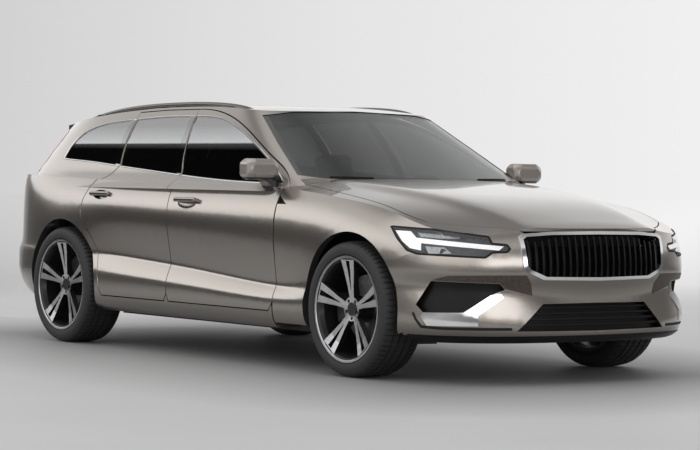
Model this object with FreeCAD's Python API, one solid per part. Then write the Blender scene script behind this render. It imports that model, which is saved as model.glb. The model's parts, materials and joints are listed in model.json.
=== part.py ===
import FreeCAD, Part
import functools
import math
import os

from FreeCAD import Vector as V

os.makedirs("parts", exist_ok=True)

# Frame: X forward, Y to the left, Z up, origin on the ground under the middle of the car. Millimetres.

# Driving dimensions
LENGTH = 4761.0
HALF_WIDTH = 925.0
WHEELBASE = 2872.0
FRONT_OVERHANG = 872.0
TRACK = 1602.0
TYRE_RADIUS = 343.0
TYRE_WIDTH = 255.0
RIM_LIP_RADIUS = 269.0
RIM_SEAT_RADIUS = 252.0
RIM_WIDTH = 228.0
ARCH_RADIUS = 385.0
ARCH_CENTRE_Z = 348.0
GAP = 6.0
PANEL = 40.0
DOOR_INNER_Y = 778.0
FRAME_DEPTH = 36.0
GLASS_DEPTH = 5.0
GLASS_SET_IN = 4.0
FLOOR_BOTTOM = 190.0
FLOOR_TOP = 232.0
LOAD_FLOOR_Z = 560.0
FIREWALL_X = 1010.0
FRONT_WELL_Y = 470.0
REAR_WELL_Y = 640.0
SEAT_GAP = 0.3
KINGPIN_Y = 700.0
SPINDLE_RADIUS = 32.0
KINGPIN_RADIUS = 14.0
RUNNING = 0.05
GRILLE_BARS = 22

FRONT_X = LENGTH / 2
REAR_X = -LENGTH / 2
AXLE_F = FRONT_X - FRONT_OVERHANG
AXLE_R = AXLE_F - WHEELBASE
WHEEL_Y = TRACK / 2
LINER_RADIUS = ARCH_RADIUS + 30.0

# Waist line in plan, front middle to rear middle, left half
PLAN = [(FRONT_X, 0), (FRONT_X - 6, 200), (FRONT_X - 30, 400), (FRONT_X - 85, 580), (FRONT_X - 180, 728),
        (FRONT_X - 315, 832), (FRONT_X - 495, 893), (AXLE_F + 180, 918), (AXLE_F, HALF_WIDTH),
        (AXLE_F - 180, HALF_WIDTH), (AXLE_F - 380, 920), (850, 914), (450, 911), (0, 910), (-450, 911),
        (-830, 916), (-1100, 922), (AXLE_R, HALF_WIDTH), (AXLE_R - 240, 920), (-1830, 894), (-2010, 842),
        (-2160, 758), (-2275, 630), (-2345, 440), (-2374, 220), (REAR_X, 0)]

# Body sections as (set in from the waist line, height), keyed by the plan point they stand at
SECTIONS = {
    0: [(150, 190), (70, 200), (30, 228), (18, 252), (22, 300), (28, 345), (31, 385), (30, 430), (25, 468), (14, 500),
        (4, 522), (0, 580), (8, 660), (22, 725), (45, 775), (80, 820), (130, 880), (250, 1040)],
    4: [(150, 190), (70, 200), (30, 228), (8, 252), (2, 300), (4, 345), (8, 385), (13, 430), (19, 468), (16, 500),
        (5, 528), (3, 580), (12, 660), (30, 725), (62, 775), (105, 820), (165, 880), (300, 1040)],
    8: [(120, 190), (60, 200), (24, 232), (10, 265), (4, 310), (2, 350), (0, 395), (0, 435), (0, 470), (0, 510),
        (0, 560), (0, 620), (2, 690), (12, 765), (34, 830), (66, 885), (110, 945), (190, 1040)],
    11: [(110, 190), (60, 200), (24, 230), (8, 270), (3, 315), (2, 350), (4, 372), (20, 416), (26, 428), (27, 446),
         (22, 500), (14, 580), (5, 670), (4, 765), (20, 850), (42, 905), (66, 950), (100, 1040)],
    13: [(110, 190), (60, 203), (24, 238), (7, 280), (2, 335), (0, 385), (3, 410), (25, 474), (31, 486), (32, 504),
         (26, 555), (16, 630), (5, 710), (3, 790), (19, 868), (40, 920), (64, 964), (92, 1040)],
    15: [(110, 190), (60, 205), (24, 245), (7, 290), (1, 355), (0, 420), (3, 446), (24, 520), (29, 532), (30, 550),
         (24, 600), (15, 665), (5, 735), (3, 812), (17, 880), (36, 930), (60, 975), (88, 1040)],
    17: [(110, 190), (60, 205), (24, 245), (8, 290), (2, 355), (0, 420), (0, 450), (2, 520), (3, 540), (3, 560),
         (2, 600), (0, 665), (0, 740), (6, 815), (18, 880), (34, 930), (54, 980), (80, 1040)],
    21: [(200, 190), (150, 222), (84, 272), (38, 318), (12, 368), (0, 420), (0, 460), (0, 520), (2, 552), (18, 572),
         (24, 610), (27, 670), (28, 740), (29, 810), (31, 870), (35, 925), (42, 975), (62, 1040)],
    25: [(200, 190), (150, 222), (84, 272), (38, 318), (12, 368), (0, 420), (0, 460), (0, 520), (4, 552), (30, 572),
         (40, 610), (46, 670), (50, 740), (54, 810), (60, 870), (74, 925), (94, 975), (124, 1040)],
}

# Top of the lower body: the hood dome ends at a crease whose |y| changes over x
CREASE_X = [(-2600, 560), (600, 640), (1150, 628), (1450, 598), (1700, 552), (1900, 512), (2080, 480), (2230, 462),
            (2350, 455), (2600, 450)]
CREASE_HALF = 26.0
DECK = [
    (-2600, [1010, 1010, 1008, 1004, 1003, 999, 990, 984]),
    (-2000, [1010, 1010, 1008, 1004, 1003, 999, 992, 988]),
    (-1300, [1010, 1008, 1006, 1001, 999, 990, 978, 968]),
    (-500, [1010, 1006, 1002, 995, 992, 982, 962, 946]),
    (300, [1010, 1006, 1002, 993, 990, 976, 952, 932]),
    (650, [1014, 1010, 1004, 993, 989, 974, 950, 924]),
    (900, [1006, 1004, 1000, 990, 982, 968, 944, 912]),
    (1150, [990, 988, 984, 971, 958, 946, 926, 894]),
    (1450, [962, 961, 956, 943, 927, 916, 898, 866]),
    (1700, [930, 929, 924, 912, 895, 880, 862, 828]),
    (1900, [894, 893, 888, 876, 858, 836, 804, 768]),
    (2080, [850, 849, 844, 832, 814, 780, 740, 704]),
    (2230, [806, 803, 796, 784, 768, 732, 690, 650]),
    (2350, [760, 757, 748, 736, 720, 690, 650, 610]),
    (2600, [640, 637, 628, 616, 600, 570, 530, 500]),
]

# Cabin columns: base at z 1000 (x, y), top at z 1400 (x, y), hollowing of the profile, depth factor
CABIN_BASE_Z = 1000.0
CABIN_TOP_Z = 1400.0
CABIN = [
    (985, 0, 272, 0, 0.05, 2.0), (981, 210, 268, 170, 0.05, 2.0), (962, 420, 256, 335, 0.04, 1.9),
    (925, 590, 226, 462, 0.02, 1.8), (878, 698, 180, 535, 0.0, 1.6), (822, 756, 112, 575, 0.05, 1.4),
    (740, 786, 20, 590, 0.2, 1.2), (600, 797, -120, 590, 0.4, 1.1), (400, 801, -260, 588, 0.55, 1.1),
    (0, 803, -480, 585, 0.6, 1.1), (-400, 804, -780, 583, 0.6, 1.1), (-800, 803, -1060, 580, 0.6, 1.1),
    (-1200, 796, -1320, 570, 0.6, 1.1), (-1530, 784, -1540, 556, 0.55, 1.1),
    (-1790, 762, -1702, 526, 0.45, 1.1), (-1985, 730, -1820, 480, 0.3, 1.15),
    (-2100, 680, -1886, 412, 0.2, 1.2), (-2180, 620, -1940, 350, 0.15, 1.2),
    (-2240, 525, -1985, 285, 0.15, 1.2), (-2272, 285, -2008, 165, 0.15, 1.2), (-2282, 0, -2016, 0, 0.15, 1.2),
]
CABIN_ROWS = [860, 900, 945, 970, 1000, 1060, 1130, 1200, 1270, 1340, 1400, 1470]

# Roof heights on the middle line and how far the edge drops with |y|
ROOF_X = [(700, 1270), (450, 1340), (300, 1380), (0, 1408), (-400, 1418), (-800, 1413), (-1200, 1396),
          (-1600, 1364), (-1900, 1328), (-2100, 1298), (-2400, 1240)]
ROOF_Y = [0, 250, 420, 560, 680, 800]
ROOF_FALL = [0, 3, 9, 19, 34, 56]


def blend(keys, values, at):
    """Smooth curve through the values at the keys."""
    last = len(keys) - 1
    i = min(max(k for k in range(last + 1) if keys[k] <= at), last - 1)
    step = keys[i + 1] - keys[i]
    s = (at - keys[i]) / step

    def slope(j):
        if j in (0, last):
            return 0.0
        return (values[j + 1] - values[j - 1]) / (keys[j + 1] - keys[j - 1])

    a = slope(i) * step
    b = slope(i + 1) * step
    return ((2 * s ** 3 - 3 * s ** 2 + 1) * values[i] + (s ** 3 - 2 * s ** 2 + s) * a
            + (-2 * s ** 3 + 3 * s ** 2) * values[i + 1] + (s ** 3 - s ** 2) * b)


def closed_poles(half):
    """Mirror a half ring and sharpen it so that the smooth ring passes its points."""
    ring = half + [(x, -y, z) for x, y, z in reversed(half[1:-1])]
    count = len(ring)
    out = []
    for i in range(count):
        before, here, after = ring[i - 1], ring[i], ring[(i + 1) % count]
        out.append(V(*[here[a] - (before[a] - 2 * here[a] + after[a]) / 6.0 for a in range(3)]))
    return out


def tube_solid(rings):
    """Closed solid through level rings, capped flat at both ends."""
    count = len(rings[0])
    rows = len(rings)
    poles = [[rings[r][c] for r in range(rows)] for c in range(count)]
    surface = Part.BSplineSurface()
    surface.buildFromPolesMultsKnots(poles, [1] * (count + 1), [4] + [1] * (rows - 4) + [4],
                                     [float(i) for i in range(count + 1)],
                                     [float(i) for i in range(rows - 2)], True, False, 3, 3)
    face = surface.toShape()
    faces = [face]
    for edge in face.Edges:
        box = edge.BoundBox
        if box.ZLength < 1e-3 and box.XLength > 100:
            faces.append(Part.Face(Part.Wire([edge])))
    shell = Part.makeShell(faces)
    shell.sewShape()
    solid = Part.makeSolid(shell)
    if solid.Volume < 0:
        solid.reverse()
    return solid


def height_block(rows, top=3000.0):
    """Everything above a smooth field given as rows of (x, [(y, z) ...]) for the left half."""
    def sharpen(values):
        out = [values[0]]
        for i in range(1, len(values) - 1):
            out.append(values[i] - (values[i - 1] - 2 * values[i] + values[i + 1]) / 6.0)
        return out + [values[-1]]

    full = [[(-y, z) for y, z in reversed(row[1:])] + row for x, row in rows]
    count = len(full[0])
    heights = [sharpen([full[i][j][1] for i in range(len(rows))]) for j in range(count)]
    poles = [[V(rows[i][0], full[i][j][0], heights[j][i]) for i in range(len(rows))] for j in range(count)]

    def knots(n):
        return [4] + [1] * (n - 4) + [4], [float(i) for i in range(n - 2)]

    um, uk = knots(count)
    vm, vk = knots(len(rows))
    surface = Part.BSplineSurface()
    surface.buildFromPolesMultsKnots(poles, um, vm, uk, vk, False, False, 3, 3)
    return surface.toShape().extrude(V(0, 0, top))


def body_rings(inset):
    keys = sorted(SECTIONS)
    last = len(PLAN) - 1
    rings = []
    for row in range(len(SECTIONS[0])):
        half = []
        for i, (x, y) in enumerate(PLAN):
            depth = blend(keys, [SECTIONS[k][row][0] for k in keys], i) + inset
            z = blend(keys, [SECTIONS[k][row][1] for k in keys], i)
            if i in (0, last):
                nx, ny = (1.0 if i == 0 else -1.0), 0.0
            else:
                tx = PLAN[i + 1][0] - PLAN[i - 1][0]
                ty = PLAN[i + 1][1] - PLAN[i - 1][1]
                size = math.hypot(tx, ty)
                nx, ny = ty / size, -tx / size
            half.append((x - nx * depth, y - ny * depth, z))
        rings.append(closed_poles(half))
    return rings


def cabin_rings(inset):
    last = len(CABIN) - 1
    rings = []
    for z in CABIN_ROWS:
        t = (z - CABIN_BASE_Z) / (CABIN_TOP_Z - CABIN_BASE_Z)
        half = []
        for i, (bx, by, tx, ty, hollow, factor) in enumerate(CABIN):
            if t >= 0:
                s = t - hollow * t * (1 - min(t, 1.0))
            else:
                s = t * (1 - 0.3 * hollow) if i < 14 else 0.0
            x = bx + (tx - bx) * s
            y = by + (ty - by) * s
            if i in (0, last):
                nx, ny = (1.0 if i == 0 else -1.0), 0.0
            else:
                dx = CABIN[i + 1][0] - CABIN[i - 1][0]
                dy = CABIN[i + 1][1] - CABIN[i - 1][1]
                size = math.hypot(dx, dy)
                nx, ny = dy / size, -dx / size
            flare = 0.0
            if t < 0 and 7 <= i <= 15:
                flare = min(62.0, (CABIN_BASE_Z - z) * 1.1) * (1.0 if i < 14 else 0.7)
            depth = inset * factor - flare
            half.append((x - nx * depth, y - ny * depth, z))
        rings.append(closed_poles(half))
    return rings


def between(pairs, at):
    """Straight-line reading of a table of (x, value)."""
    for (x0, v0), (x1, v1) in zip(pairs, pairs[1:]):
        if at <= x1:
            return v0 + (v1 - v0) * (at - x0) / (x1 - x0)
    return pairs[-1][1]


def deck_columns(x):
    crease = between(CREASE_X, x)
    return [0, 0.45 * crease, crease - 3 * CREASE_HALF, crease - CREASE_HALF, crease + CREASE_HALF,
            (crease + CREASE_HALF + 800) / 2 + 10, 830, 1000]


@functools.lru_cache(maxsize=None)
def lower_body(inset, drop=None):
    drop = inset if drop is None else drop
    rows = [(x, [(y, z - drop) for y, z in zip(deck_columns(x), heights)]) for x, heights in DECK]
    return tube_solid(body_rings(inset)).cut(height_block(rows))


@functools.lru_cache(maxsize=None)
def cabin_body(inset):
    rows = [(x, [(y, z - fall - inset) for y, fall in zip(ROOF_Y, ROOF_FALL)]) for x, z in reversed(ROOF_X)]
    return tube_solid(cabin_rings(inset)).cut(height_block(rows))


def biggest(shape):
    """The largest single solid of a shape."""
    return max(shape.Solids, key=lambda s: s.Volume)


def box(x0, x1, y0, y1, z0, z1):
    return Part.makeBox(x1 - x0, y1 - y0, z1 - z0, V(x0, y0, z0))


def mirrored(shape):
    return shape.mirror(V(0, 0, 0), V(0, 1, 0))


def both_sides(shape):
    return Part.makeCompound([shape, mirrored(shape)])


def wire(points, round_runs=()):
    """Closed outline; runs of point numbers listed in round_runs become smooth curves."""
    starts = {run[0]: run for run in round_runs}
    edges = []
    i = 0
    count = len(points)
    while i < count:
        if i in starts:
            run = starts[i]
            line = Part.BSplineCurve()
            line.interpolate([points[j % count] for j in range(run[0], run[1] + 1)])
            edges.append(line.toShape())
            i = run[1]
        else:
            edges.append(Part.makeLine(points[i], points[(i + 1) % count]))
            i += 1
    return Part.Wire(edges)


def prism(points, direction, round_runs=()):
    return Part.Face(wire(points, round_runs)).extrude(direction)


def plan_prism(points, z0, z1, round_runs=()):
    return prism([V(x, y, z0) for x, y in points], V(0, 0, z1 - z0), round_runs)


def side_prism(points, y0, y1, round_runs=()):
    return prism([V(x, y0, z) for x, z in points], V(0, y1 - y0, 0), round_runs)


def front_prism(points, x0, x1, round_runs=()):
    return prism([V(x0, y, z) for y, z in points], V(x1 - x0, 0, 0), round_runs)


def cylinder_y(x, z, radius, y0, y1):
    return Part.makeCylinder(radius, y1 - y0, V(x, y0, z), V(0, 1, 0))


def skin_y(z):
    """Half width of the side surface at a height, for outlines drawn on it."""
    table = [(0, 915), (880, 895), (945, 862), (1000, 803), (1060, 786), (1130, 758), (1200, 724),
             (1270, 684), (1340, 634), (1400, 577), (1500, 560)]
    for (z0, y0), (z1, y1) in zip(table, table[1:]):
        if z <= z1:
            return y0 + (y1 - y0) * (z - z0) / (z1 - z0)
    return table[-1][1]


OUTER_Y = 960.0
INNER_Y = 540.0


def leaning_block(points, lean, round_runs=()):
    """Block through the left side whose ends move forward with depth, by lean(x) mm per mm."""
    wires = []
    for plane in (OUTER_Y, INNER_Y):
        row = [V(x + lean(x) * (skin_y(z) - plane), plane, z) for x, z in points]
        wires.append(wire(row, round_runs))
    return Part.makeLoft(wires, True, True)


# Outer surfaces and the spaces inside them
low_out = lower_body(0.0)
low_panel = lower_body(PANEL)
low_cabin = lower_body(HALF_WIDTH - DOOR_INNER_Y, 0.0)
cab_out = cabin_body(0.0)
cab_in = cabin_body(FRAME_DEPTH)
cab_glass_out = cabin_body(GLASS_SET_IN)
cab_glass_in = cabin_body(GLASS_SET_IN + GLASS_DEPTH)
cab_shell = cab_out.cut(cab_in)
glass_shell = cab_glass_out.cut(cab_glass_in)

# Wheel houses
arches = []
for axle in (AXLE_F, AXLE_R):
    depth = FRONT_WELL_Y if axle == AXLE_F else REAR_WELL_Y
    for side in (1, -1):
        y0, y1 = sorted((side * depth, side * 1000))
        arches.append(cylinder_y(axle, ARCH_CENTRE_Z, ARCH_RADIUS, y0, y1))
        y0, y1 = sorted((side * depth, side * 872))
        arches.append(cylinder_y(axle, ARCH_CENTRE_Z, LINER_RADIUS, y0, y1))
arch_cut = arches[0].multiFuse(arches[1:])
arch_left = arch_cut.common(box(-3000, 3000, 0, 1100, -100, 1000))

# Side glass outline and door outlines on the left side, (x, z)
GLASS_LOW = [(779, 970), (500, 975), (200, 984), (-181, 1004), (-520, 1026), (-877, 1050), (-1230, 1075),
             (-1560, 1091), (-1648, 1097)]
GLASS_HIGH = [(-1620, 1164), (-1535, 1240), (-1328, 1296), (-1062, 1316), (-700, 1333), (-356, 1335), (-110, 1323),
              (60, 1288), (300, 1208), (540, 1102)]
glass_points = GLASS_LOW + GLASS_HIGH
glass_runs = ((0, 8), (9, 18))
FRONT_DOOR = [(838, 345), (838, 925), (800, 972), (560, 1110), (318, 1222), (75, 1314), (-105, 1356),
              (-355, 1375), (-285, 1200), (-222, 1004), (-214, 800), (-205, 345), (-190, 302), (800, 302)]
front_runs = ((1, 7), (7, 10))
REAR_DOOR = [(-205 - GAP, 345), (-214 - GAP, 800), (-222 - GAP, 1004), (-285 - GAP, 1200), (-355 - GAP, 1375),
             (-700, 1374), (-985, 1364), (-945, 1190), (-915, 1055), (-1020, 975), (-1110, 880),
             (-1127, 759), (-1040, 650), (-965, 520), (-930, 345), (-905, 302), (-240, 302)]
rear_runs = ((1, 4), (8, 14))


def front_lean(x):
    return 0.25


def rear_lean(x):
    return 0.25 + 0.2 * min(1.0, max(0.0, (-x - 300) / 600.0))


def grown(points, by):
    """Outline moved outward by a gap."""
    out = []
    count = len(points)
    area = sum(points[i][0] * points[(i + 1) % count][1] - points[(i + 1) % count][0] * points[i][1]
               for i in range(count))
    sign = 1.0 if area > 0 else -1.0
    for i in range(count):
        ax, az = points[i - 1]
        bx, bz = points[i]
        cx, cz = points[(i + 1) % count]
        n1 = ((bz - az), -(bx - ax))
        n2 = ((cz - bz), -(cx - bx))
        l1 = math.hypot(*n1)
        l2 = math.hypot(*n2)
        mx = n1[0] / l1 + n2[0] / l2
        mz = n1[1] / l1 + n2[1] / l2
        size = math.hypot(mx, mz)
        miter = 2.0 / size
        out.append((bx + sign * mx / size * by * min(miter, 1.5), bz + sign * mz / size * by * min(miter, 1.5)))
    return out


front_block = leaning_block(FRONT_DOOR, front_lean, front_runs)
rear_block = leaning_block(REAR_DOOR, rear_lean, rear_runs)
front_hole = leaning_block(grown(FRONT_DOOR, GAP), front_lean, front_runs)
rear_hole = leaning_block(grown(REAR_DOOR, GAP), rear_lean, rear_runs)
glass_block = side_prism(glass_points, 500, 960, glass_runs)


def half_space(x0, x1):
    return box(x0, x1, 500, 960, 900, 1500)


B_SPLIT = [(-170, 950), (-225, 1010), (-290, 1200), (-360, 1400), (-420, 1400), (-350, 1200), (-275, 1010),
           (-240, 950)]
C_SPLIT = [(-880, 1000), (-915, 1055), (-945, 1190), (-985, 1400), (-1055, 1400), (-1010, 1190), (-975, 1055),
           (-960, 1000)]
b_post = side_prism(B_SPLIT, 500, 960)
c_post = side_prism(C_SPLIT, 500, 960)
window_cut = glass_block.cut(b_post).cut(c_post)

# Doors
low_left = biggest(low_out.common(box(-1300, 900, DOOR_INNER_Y, 1200, 0, 1500)))
cab_left = biggest(cab_shell.common(box(-1300, 1200, 300, 1200, 925, 1500)))
wall_left = low_left.fuse(cab_left)


HANDLE_LENGTH = 210.0
HANDLE_HEIGHT = 26.0
SCOOP_DEPTH = 17.0


def door(block, handle_x, handle_z):
    """Door panel with its window cut out, a finger scoop and a pull handle over it."""
    panel = biggest(wall_left.common(block).cut(window_cut))
    y = skin_y(handle_z) + 6.0
    scoop = Part.makeSphere(1.0)
    matrix = FreeCAD.Matrix()
    matrix.scale(0.45 * HANDLE_LENGTH, SCOOP_DEPTH, 1.35 * HANDLE_HEIGHT)
    scoop = scoop.transformGeometry(matrix)
    scoop.translate(V(handle_x, y - 4, handle_z - 0.55 * HANDLE_HEIGHT))
    panel = panel.cut(scoop)
    half = HANDLE_LENGTH / 2
    grip = box(handle_x - half, handle_x + half, y - 3, y + 20, handle_z - HANDLE_HEIGHT / 2,
               handle_z + HANDLE_HEIGHT / 2)
    grip = grip.makeFillet(9.0, [e for e in grip.Edges if e.Length > 24 or e.BoundBox.YLength > 20])
    feet = [box(handle_x + dx - 14, handle_x + dx + 14, y - 40, y + 2, handle_z - 8, handle_z + 8)
            for dx in (16 - half, half - 16)]
    return biggest(panel.fuse(feet[0]).fuse(feet[1]).fuse(grip).removeSplitter())


door_front = door(front_block, -25.0, 868.0)
door_rear = door(rear_block, -953.0, 889.0)

glass_front = biggest(glass_shell.common(window_cut).common(front_block).common(half_space(-400, 900)))
glass_rear = biggest(glass_shell.common(window_cut).common(rear_block).common(half_space(-1200, -200)))
glass_quarter = biggest(glass_shell.common(window_cut).common(half_space(-1760, -930)))

# Mirror with its foot on the front door
MIRROR = (705.0, 912.0, 1040.0)
MIRROR_SIZE = (112.0, 204.0, 112.0)
head = Part.makeSphere(1.0)
matrix = FreeCAD.Matrix()
matrix.scale(0.62 * MIRROR_SIZE[0], 0.62 * MIRROR_SIZE[1], 0.66 * MIRROR_SIZE[2])
head = head.transformGeometry(matrix)
block = box(-MIRROR_SIZE[0] / 2, MIRROR_SIZE[0] / 2, -MIRROR_SIZE[1] / 2, MIRROR_SIZE[1] / 2,
            -MIRROR_SIZE[2] / 2, MIRROR_SIZE[2] / 2)
head = head.common(block.makeFillet(34.0, block.Edges))
head.translate(V(*MIRROR))
foot = Part.makeLoft([Part.makePolygon([V(x, 842, z) for x, z in
                                        ((765, 935), (650, 935), (650, 968), (765, 975), (765, 935))]),
                      Part.makePolygon([V(x, 900, z) for x, z in
                                        ((735, 985), (675, 985), (675, 1010), (735, 1010), (735, 985))])],
                     True, True)
mirror = biggest(head.fuse(foot).cut(wall_left.common(front_block)).cut(glass_front))

# Hood
HOOD = [(1012, 0), (1002, 220), (960, 520), (864, 748), (1148, 772), (1400, 792), (1668, 802), (1850, 800),
        (1965, 772), (2100, 640), (2228, 490), (2290, 440), (2322, 300), (2336, 0)]
hood_ring = HOOD + [(x, -y) for x, y in reversed(HOOD[1:-1])]
hood_runs = ((0, 3), (3, 8), (8, 10), (10, 16), (16, 18), (18, 23), (23, 26))
low_hood = lower_body(28.0, 26.0)
hood = low_out.cut(low_hood).common(plan_prism(hood_ring, 754, 1100, hood_runs))
hood = hood.cut(cabin_body(-GAP))
hood = biggest(hood)
hood_hole = plan_prism(grown(hood_ring, GAP), 680, 1100, hood_runs)

# Windscreen
SCREEN = [(0, 985), (420, 990), (640, 996), (742, 1012), (668, 1180), (590, 1338), (420, 1362), (0, 1374)]
screen_ring = SCREEN + [(-y, z) for y, z in reversed(SCREEN[1:-1])]
screen_block = front_prism(screen_ring, 60, 1100)
windscreen = biggest(glass_shell.common(screen_block).cut(low_out))
screen_cut = front_prism([(y * 0.985, 0.985 * (z - 1180) + 1180) for y, z in screen_ring], 60, 1100)

# Tailgate and its glass
GATE = [(0, 552), (560, 552), (640, 600), (668, 800), (668, 940), (600, 990), (548, 1180), (500, 1330), (480, 1420),
        (0, 1420)]
gate_ring = GATE + [(-y, z) for y, z in reversed(GATE[1:-1])]
GATE_HINGE_X = -1905.0
gate_block = front_prism(gate_ring, -2500, GATE_HINGE_X - GAP / 2)
gate_hole = front_prism(grown(gate_ring, GAP), -2500, GATE_HINGE_X + GAP / 2)
gate_inner_block = front_prism(grown(gate_ring, -28.0), -2500, GATE_HINGE_X - GAP / 2)
gate_side = side_prism([(GATE_HINGE_X, 1500), (GATE_HINGE_X, 1250), (-1975, 1180), (-2120, 1010), (-2200, 930),
                        (-2230, 540), (-2500, 540), (-2500, 1500)], -900, 900)
car_out = low_out.fuse(cab_out)
low_gate = lower_body(90.0, 0.0)
gate_shell = car_out.cut(low_gate).cut(cabin_body(50.0))
gate_shell = gate_shell.common(box(-2500, -1500, -900, 900, 500, 1500))
gate_skin = gate_shell.cut(lower_body(12.0)).cut(cabin_body(10.0))
tailgate = gate_skin.common(gate_block).fuse(gate_shell.common(gate_inner_block))
GATE_GLASS = [(0, 1015), (500, 1020), (546, 1035), (478, 1255), (440, 1275), (0, 1282)]
gate_glass_ring = GATE_GLASS + [(-y, z) for y, z in reversed(GATE_GLASS[1:-1])]
gate_glass_block = front_prism(gate_glass_ring, -2500, -1700)
spoiler = side_prism([(GATE_HINGE_X - 10, 1322), (-2148, 1293), (-2152, 1280), (-2060, 1262),
                      (GATE_HINGE_X - 10, 1280)], -1000, 1000)
SPOILER_PLAN = [(-1800, 462), (-2060, 478), (-2110, 440), (-2148, 300), (-2158, 0)]
spoiler_ring = SPOILER_PLAN + [(x, -y) for x, y in reversed(SPOILER_PLAN[:-1])]
spoiler = spoiler.common(plan_prism(spoiler_ring, 1200, 1400, ((1, 7),)))
tailgate = tailgate.cut(gate_glass_block)
tailgate = biggest(tailgate.fuse(spoiler))
tailgate_glass = biggest(glass_shell.common(gate_glass_block).cut(spoiler))

# Lamps
HEAD_LAMP = [(1802, 876, 769), (1862, 882, 709), (1933, 874, 650), (1989, 857, 634), (2258, 634, 623),
             (2274, 597, 649), (2302, 530, 652), (2304, 515, 669), (2295, 526, 688), (2263, 595, 694),
             (2244, 603, 728), (2042, 791, 762)]


def along(points, direction, back, length):
    """Prism of an outline seen along a direction."""
    d = V(*direction)
    d.normalize()
    flat = []
    for p in points:
        q = V(*p)
        flat.append(q - d * (q.dot(d) - back))
    return prism(flat, d * length)


lamp_direction = (0.8, 0.6, 0)
lamp_block = along(HEAD_LAMP, lamp_direction, 1700, 900)
head_lamp = low_out.cut(lower_body(70.0)).common(box(1700, 2400, 400, 1000, 550, 850)).common(lamp_block)
head_lamp = biggest(head_lamp.cut(hood_hole).cut(arch_left))
TAIL_LAMP = [(520, 1296), (488, 1296), (540, 1150), (610, 1004), (700, 985), (700, 780), (820, 760), (836, 905),
             (828, 968), (700, 1008), (640, 1010)]
tail_block = front_prism(TAIL_LAMP, -2500, -1760)
TAIL_STRIP = [(-1700, 1320), (-1700, 1200), (-1984, 1030), (-2150, 1000), (-2100, 985), (-2100, 700), (-2500, 700),
              (-2500, 1320)]
tail_shell = car_out.common(box(-2500, -1750, 300, 1000, 600, 1500)).cut(lower_body(60.0, 0.0)).cut(cab_in)
tail_lamp = biggest(tail_shell.common(tail_block).cut(gate_hole))

# Grille and intakes in the front bumper
GRILLE = [(0, 756), (300, 753), (450, 742), (472, 728), (462, 580), (440, 556), (350, 518), (0, 512)]
grille_ring = GRILLE + [(-y, z) for y, z in reversed(GRILLE[1:-1])]
INTAKE = [(0, 402), (335, 400), (482, 268), (0, 264)]
intake_ring = INTAKE + [(-y, z) for y, z in reversed(INTAKE[1:-1])]
POCKET = [(2065, 820, 507), (1995, 857, 391), (2035, 843, 354), (2197, 723, 358), (2262, 606, 443),
          (2289, 539, 470), (2284, 567, 499)]
POCKET_TRIM = [(2022, 849, 336), (2052, 834, 290), (2242, 665, 293), (2241, 665, 344), (2289, 544, 431),
               (2283, 556, 448), (2262, 606, 443), (2197, 723, 358), (2035, 843, 354)]
nose_box = box(1900, 2500, -950, 950, 150, 850)
nose_out = lower_body(-6.0, -6.0).common(nose_box)
nose_face = lower_body(12.0).common(nose_box)
nose_bars = lower_body(40.0).common(nose_box)
nose_back = lower_body(45.0).common(nose_box)
grille_hole = front_prism(grille_ring, 2000, 2500)
intake_hole = front_prism(intake_ring, 2000, 2500)
pocket_hole = along(POCKET, lamp_direction, 1700, 900)
trim_block = along(POCKET_TRIM, lamp_direction, 1700, 900)
FRAME_SIDE = 0.955
FRAME_LOW = 0.87
inner_ring = [(y * FRAME_SIDE, (z - 636) * FRAME_LOW + 636) for y, z in grille_ring]
inner_hole = front_prism(inner_ring, 2000, 2500)
grille_frame = nose_out.cut(nose_back).common(grille_hole)
grille_frame = biggest(grille_frame.cut(inner_hole).cut(hood_hole))
pocket_trim = biggest(nose_out.cut(nose_bars).common(trim_block))
grille_surround = Part.makeCompound([grille_frame, pocket_trim, mirrored(pocket_trim)])
bar_zone = nose_face.cut(nose_bars)
BAR_WIDTH = 11.0
bars = []
step = 880.0 / GRILLE_BARS
for i in range(GRILLE_BARS):
    y = -440.0 + step * (i + 0.5)
    bars.append(box(2200, 2400, y - BAR_WIDTH / 2, y + BAR_WIDTH / 2, 500, 770))
bar_set = bar_zone.common(bars[0].multiFuse(bars[1:])).common(inner_hole)
back_layer = nose_bars.cut(nose_back)
back_plate = back_layer.common(inner_hole).cut(hood_hole)
slats = [box(2100, 2400, -520, 520, z, z + 10) for z in (292, 320, 348, 376)]
slat_set = bar_zone.common(slats[0].multiFuse(slats[1:])).common(intake_hole)
grille_main = biggest(back_plate).fuse(bar_set.cut(hood_hole))
grille_low = biggest(back_layer.common(intake_hole)).fuse(slat_set)
pocket_plate = biggest(back_layer.common(pocket_hole))
LIP_TOP = 238.0
LIP_BOTTOM = 206.0
lip = nose_out.cut(nose_back).common(box(1930, 2500, -1000, 1000, LIP_BOTTOM, LIP_TOP)).cut(arch_cut)
grille_bars = Part.makeCompound([biggest(grille_main), biggest(grille_low), pocket_plate, mirrored(pocket_plate),
                                 biggest(lip)])

# Front bumper
BUMPER_SIDE = [(1500, LIP_TOP), (2500, LIP_TOP), (2500, 900), (2120, 900), (2060, 760), (2005, 655), (1862, 604),
               (1500, 604)]
bumper_block = side_prism(BUMPER_SIDE, -1000, 1000)
lamp_pair = lamp_block.fuse(mirrored(lamp_block))
pockets = pocket_hole.multiFuse([mirrored(pocket_hole), trim_block, mirrored(trim_block)])
front_ring = low_out.common(box(1500, 2500, -1000, 1000, 0, 900)).cut(lower_body(45.0)).common(bumper_block)
front_bumper = front_ring.cut(hood_hole).cut(lamp_pair).cut(grille_hole).cut(intake_hole).cut(pockets)
front_bumper = biggest(front_bumper.cut(arch_cut))

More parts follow.
